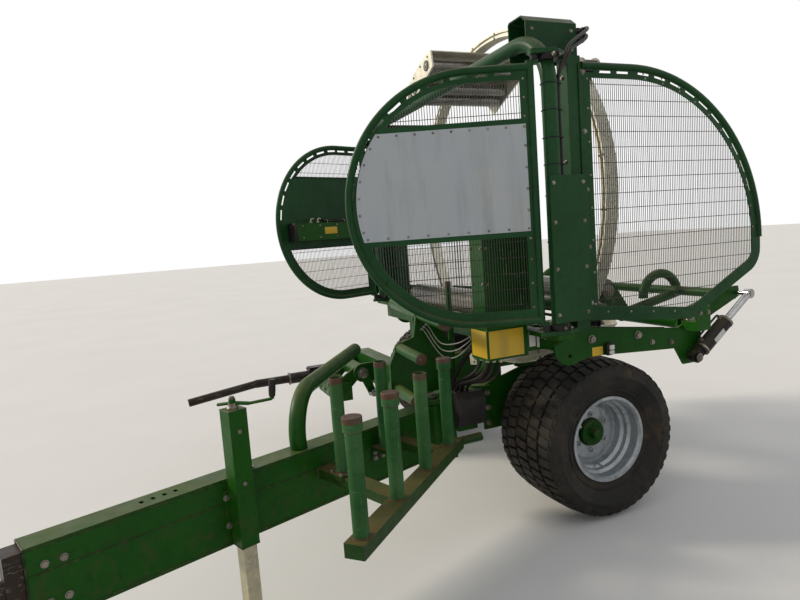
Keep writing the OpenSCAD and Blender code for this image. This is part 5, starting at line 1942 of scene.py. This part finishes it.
@dataclass
class DrawbarTrim:
    """Weld seams, bolts, worn spindle tops and the jack's grip on the drawbar."""

    rail: Flat = (360.0, -247.0)
    splay: float = 23.6
    gap: float = 317.0
    deck: float = 558.0
    top: float = 993.3
    half_width: float = 58.0
    jack_at: Flat = (110.0, -1245.0)
    crank: float = 974.0
    leg_face: float = 140.0
    sleeve_face: float = 150.0

    def spindles(self) -> list[tuple[float, float, bool]]:
        """Places of the film spindles.

        Returns:
            Each place as [x, y, whether it has a cap].
        """
        turn = math.radians(self.splay)
        x, y = self.rail
        out, ahead = self.gap * math.sin(turn), self.gap * math.cos(turn)
        outer = [(x + i * out, y - i * ahead, i != 1) for i in range(4)]
        return [*outer, (207.0, -792.0, False), (127.0, -460.0, False)]

    def beam(self) -> None:
        """Seams and bolts of the drawbar's box and the bale hoop's foot."""
        seams = Shape(DRAWBAR)
        w = self.half_width
        for x in (-w, w):
            for z in (640, 548, 372):
                seams.weld([(x, -2010, z), (x, -66, z)], 3.5)
        end = [(-w, -2018, 362), (w, -2018, 362), (w, -2018, 648), (-w, -2018, 648)]
        seams.weld([*end, end[0]], 4)
        seams.piece("drawbar_welds", "drawbar", Finish.WELD, "green_paint")
        bolts = Shape(DRAWBAR)
        for z in (435, 575):
            for y in (-1960, -1900):
                bolts.bolt((w, y, z), Axis.X, 13)
                bolts.bolt((-w, y, z), Axis.RIGHT, 13, 12)
        for y in (-1150, -700):
            bolts.bolt((40, y, 650), Axis.Z, 12)
        bolts.piece("drawbar_bolts", "drawbar", Finish.BOLT, "bare_steel")

    def rack(self) -> None:
        """Worn tops, foot seams and bolts of the film rack."""
        tops = Shape(DRAWBAR)
        seams = Shape(DRAWBAR)
        cap = [(30, -22), (36.6, -20), (36.6, -1), (35.5, 0.8), (33, 1.6), (29, 1.0), (6, 1.4)]
        rim = [(30.6, -26), (30.6, 0), (29.8, 1.2), (26.6, 1.2), (26.4, -1), (26.4, -60)]
        for x, y, capped in self.spindles():
            seams.ring_weld(Axis.Z, self.deck + 2, (x, y), 31.5, 4, 30)
            tops.turned(cap if capped else rim, (x, y, self.top), Axis.Z, 48)
            if capped:
                seams.ring_weld(Axis.Z, self.top - 51, (x, y), 32, 3, 30)
        tops.piece("spindle_tops", "drawbar", Finish.RUSTY, "dark_steel", 30)
        for y in (-340, -270, -830, -750):
            seams.weld([(60, y, 504), (60, y, 547)], 4)
        for low, high in ((-338, -272), (-828, -752)):
            seams.weld([(60, low, 548), (60, high, 548)], 4)
        seams.piece("rack_welds", "drawbar", Finish.RUSTY, "dark_steel")
        bolts = Shape(DRAWBAR)
        for y in (-485, -435):
            for z in (495, 525):
                bolts.bolt((68, y, z), Axis.X, 12)
        for x, y in ((120, -480), (160, -480), (172, -828), (243, -828)):
            bolts.bolt((x, y, self.deck), Axis.Z, 10)
        bolts.piece("rack_bolts", "drawbar", Finish.BOLT, "bare_steel")

    def square(self, half: float, z: float) -> list[Point]:
        """Closed square round the jack's axis.

        Args:
            half: Half its side.
            z: Its height.

        Returns:
            Its corners, with the first one again at the end.
        """
        x, y = self.jack_at
        return [(x + half * u, y + half * v, z) for u, v in ((-1, -1), (1, -1), (1, 1), (-1, 1), (-1, -1))]

    def jack(self) -> None:
        """Fasteners, grip and seams of the jack's sleeve."""
        bolts = Shape(DRAWBAR)
        x, y = self.jack_at
        for side in (y - 50, y + 50):
            for z in (455, 575):
                bolts.bolt((71, side, z), Axis.X, 13)
        bolts.turned([(24, 0), (24, 6), (20, 10), (16, 24)], (x, y, 950), Axis.Z, 32)
        bolts.bolt((x, y, 992), Axis.Z, 12)
        for z in (640, 860):
            bolts.turned([(9, 0), (9, 4), (7, 6)], (self.sleeve_face, y, z), Axis.X, 16)
        bolts.piece("jack_fasteners", "drawbar", Finish.BOLT, "bare_steel")
        grip = Shape(DRAWBAR)
        low = Vector((x + 95.7, y + 130.8, self.crank + 12))
        high = Vector((x + 100, y + 136, self.crank + 82))
        path = [low, *(low.lerp(high, share) for share in (0.04, 0.3, 0.7, 0.95)), high]
        grip.tube(path, lambda t: 14.5 if 0.3 < t < 0.7 else 13.2, 20)
        grip.piece("jack_grip", "drawbar", Finish.PLASTIC, "black_paint")
        seams = Shape(DRAWBAR)
        for z in (948, 372):
            seams.weld(self.square(40, z), 2.5)
        seams.piece("jack_welds", "drawbar", Finish.WELD, "green_paint")

    def leg(self) -> None:
        """Seam and bolts of the jack's foot and the flat rings on its leg."""
        made = Shape(DRAWBAR)
        made.weld(self.square(30, 13), 4)
        for place in spaced(self.jack_at, 4, 45, 66):
            made.turned([(7, -1), (7, 1.4), (5, 1.6)], (*place, 12), Axis.Z, 16)
        for z in (150, 210, 270, 330):
            made.turned([(9, -0.5), (9, 0.2), (7, 0.35)], (self.leg_face, self.jack_at[1], z), Axis.X, 16)
        made.piece("jack_foot_trim", "jack", Finish.FITTING, "bare_steel")

    def build(self) -> None:
        """Makes the drawbar's pieces."""
        self.beam()
        self.rack()
        self.jack()
        self.leg()


@dataclass
class Studio:
    """Floor, lamps, world and camera."""

    eye: Point = (3.467, -1.263, 1.596)
    yaw: float = 67.88
    pitch: float = 5.97
    roll: float = 4.2
    lens: float = 27.0
    floor_half: float = 60.0
    pale: Colour = (0.80, 0.80, 0.80)
    clouded: Colour = (0.76, 0.76, 0.76)
    sky: float = 0.5
    sun: float = 2.5
    sun_width: float = 12.0
    sun_colour: Colour = (1.0, 0.90, 0.74)
    sun_from: Point = (-0.62, -0.80, 0.52)

    def floor(self) -> None:
        """Plain pale floor that keeps the machine's shadow."""
        mesh = bpy.data.meshes.new("floor")
        h = self.floor_half
        mesh.from_pydata([(-h, -h, 0), (h, -h, 0), (h, h, 0), (-h, h, 0)], [], [(0, 1, 2, 3)])
        made = stand("floor", mesh)
        r = Recipe("floor_pale")
        colour = r.blend(self.pale, self.clouded, r.band(r.noise(0.6, 3), 0.3, 0.7))
        mesh.materials.append(r.finish(colour, 0.9))

    def light(self) -> None:
        """Even sky with a low soft sun from the front right, as the machine stands in the photo."""
        world = bpy.data.worlds.new("studio_sky")
        bpy.context.scene.world = world
        world.use_nodes = True
        tree = world.node_tree
        back = tree.nodes["Background"]
        path = tree.nodes.new("ShaderNodeLightPath")
        seen = path.outputs["Is Camera Ray"]
        for ray in ("Is Transmission Ray", "Is Glossy Ray"):
            joined = tree.nodes.new("ShaderNodeMath")
            joined.operation = Join.LARGER.value
            tree.links.new(seen, joined.inputs[0])
            tree.links.new(path.outputs[ray], joined.inputs[1])
            seen = joined.outputs[0]
        # the machine gets the sky's level, and the background stays white
        level = tree.nodes.new("ShaderNodeMapRange")
        level.inputs["To Min"].default_value = self.sky
        level.inputs["To Max"].default_value = 1.0
        tree.links.new(seen, level.inputs["Value"])
        tree.links.new(level.outputs[0], back.inputs["Strength"])
        back.inputs["Color"].default_value = (1, 1, 1, 1)
        sun = bpy.data.lights.new("low_sun", "SUN")
        sun.energy = self.sun
        sun.angle = math.radians(self.sun_width)
        sun.color = self.sun_colour
        stand("low_sun", sun).rotation_euler = Vector(self.sun_from).to_track_quat("Z", "Y").to_euler()

    def camera(self) -> None:
        """Camera at the photo's viewing point, fitted to the spindles, ring and guards."""
        yaw, pitch, roll = (math.radians(a) for a in (self.yaw, self.pitch, self.roll))
        level = Vector((math.cos(yaw), math.sin(yaw), 0))
        ahead = Vector((-math.sin(yaw), math.cos(yaw), 0))
        up = Vector((0, 0, 1))
        forward = ahead * math.cos(pitch) - up * math.sin(pitch)
        over = up * math.cos(pitch) + ahead * math.sin(pitch)
        right = level * math.cos(roll) - over * math.sin(roll)
        top = over * math.cos(roll) + level * math.sin(roll)
        turn = Matrix((right, top, -forward)).transposed().to_4x4()
        data = bpy.data.cameras.new("photo_camera")
        data.lens = self.lens
        data.sensor_width = 36.0
        data.clip_end = 200.0
        made = stand("photo_camera", data)
        made.matrix_world = Matrix.Translation(self.eye) @ turn
        bpy.context.scene.camera = made

    def build(self) -> None:
        """Makes the studio."""
        self.floor()
        self.light()
        self.camera()
        bpy.context.scene.view_settings.view_transform = "Standard"


CAD_FINISHES: dict[Finish, tuple[str, ...]] = {
    Finish.GREEN: ("chassis_frame", "axle_beam", "roller_stand", "valve_box", "side_plates", "hub_left",
                   "hub_right", "drawbar_beam", "jack_sleeve", "bale_hoop", "guard_right_box", "loader_arm",
                   "table_frame", "front_tubes"),
    # the guards, arch and drive box wear the field green with painted shade: its darker, bluer copy
    Finish.GUARD: ("front_arch", "drive_box", "post_panels", "rear_guard_frames", "guard_left_frame",
                   "guard_right_frame"),
    Finish.RACK: ("film_rack",),
    Finish.SPINDLE: ("film_spindles",),
    Finish.RING: ("wrapping_ring", "dispenser_frames"),
    Finish.RIM: ("rim_left", "rim_right"),
    Finish.FITTING: ("jack_leg",),
    Finish.BLACK: ("drive_motor", "ring_guides", "table_ram_barrels", "loader_ram_barrel"),
    Finish.ROLLER: ("roller_front", "roller_rear", "dispenser_rollers"),
    Finish.ROD: ("table_ram_rods", "loader_ram_rod"),
    Finish.TINE: ("loader_tine", "hitch_eye"),
    Finish.HOSE: ("hoses",),
    Finish.PANEL: ("guard_left_panel",),
}


def dress_cad_nodes() -> None:
    """Gives every carried CAD node its finish."""
    for finish, names in CAD_FINISHES.items():
        for name in names:
            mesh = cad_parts[name].data
            mesh.materials.clear()
            mesh.materials.append(finish.material())
            LOG.info("%s wears %s", name, finish.value.name)


def main() -> None:
    """Builds the studio and every sub-assembly in order."""
    logging.basicConfig(level=logging.INFO, format="%(name)s: %(message)s")
    Studio().build()
    dress_cad_nodes()
    trims = (Wheel(1), Wheel(-1), FrontGuard(1), FrontGuard(-1), RearGuards(), ArchTrim(), RingTrim(),
             ValveTrim(), TubeTrim(), ChassisTrim(), SidePlateTrim(), TableTrim(), LoaderTrim(),
             DrawbarTrim())
    for trim in trims:
        trim.build()


if __name__ == "__main__":
    main()
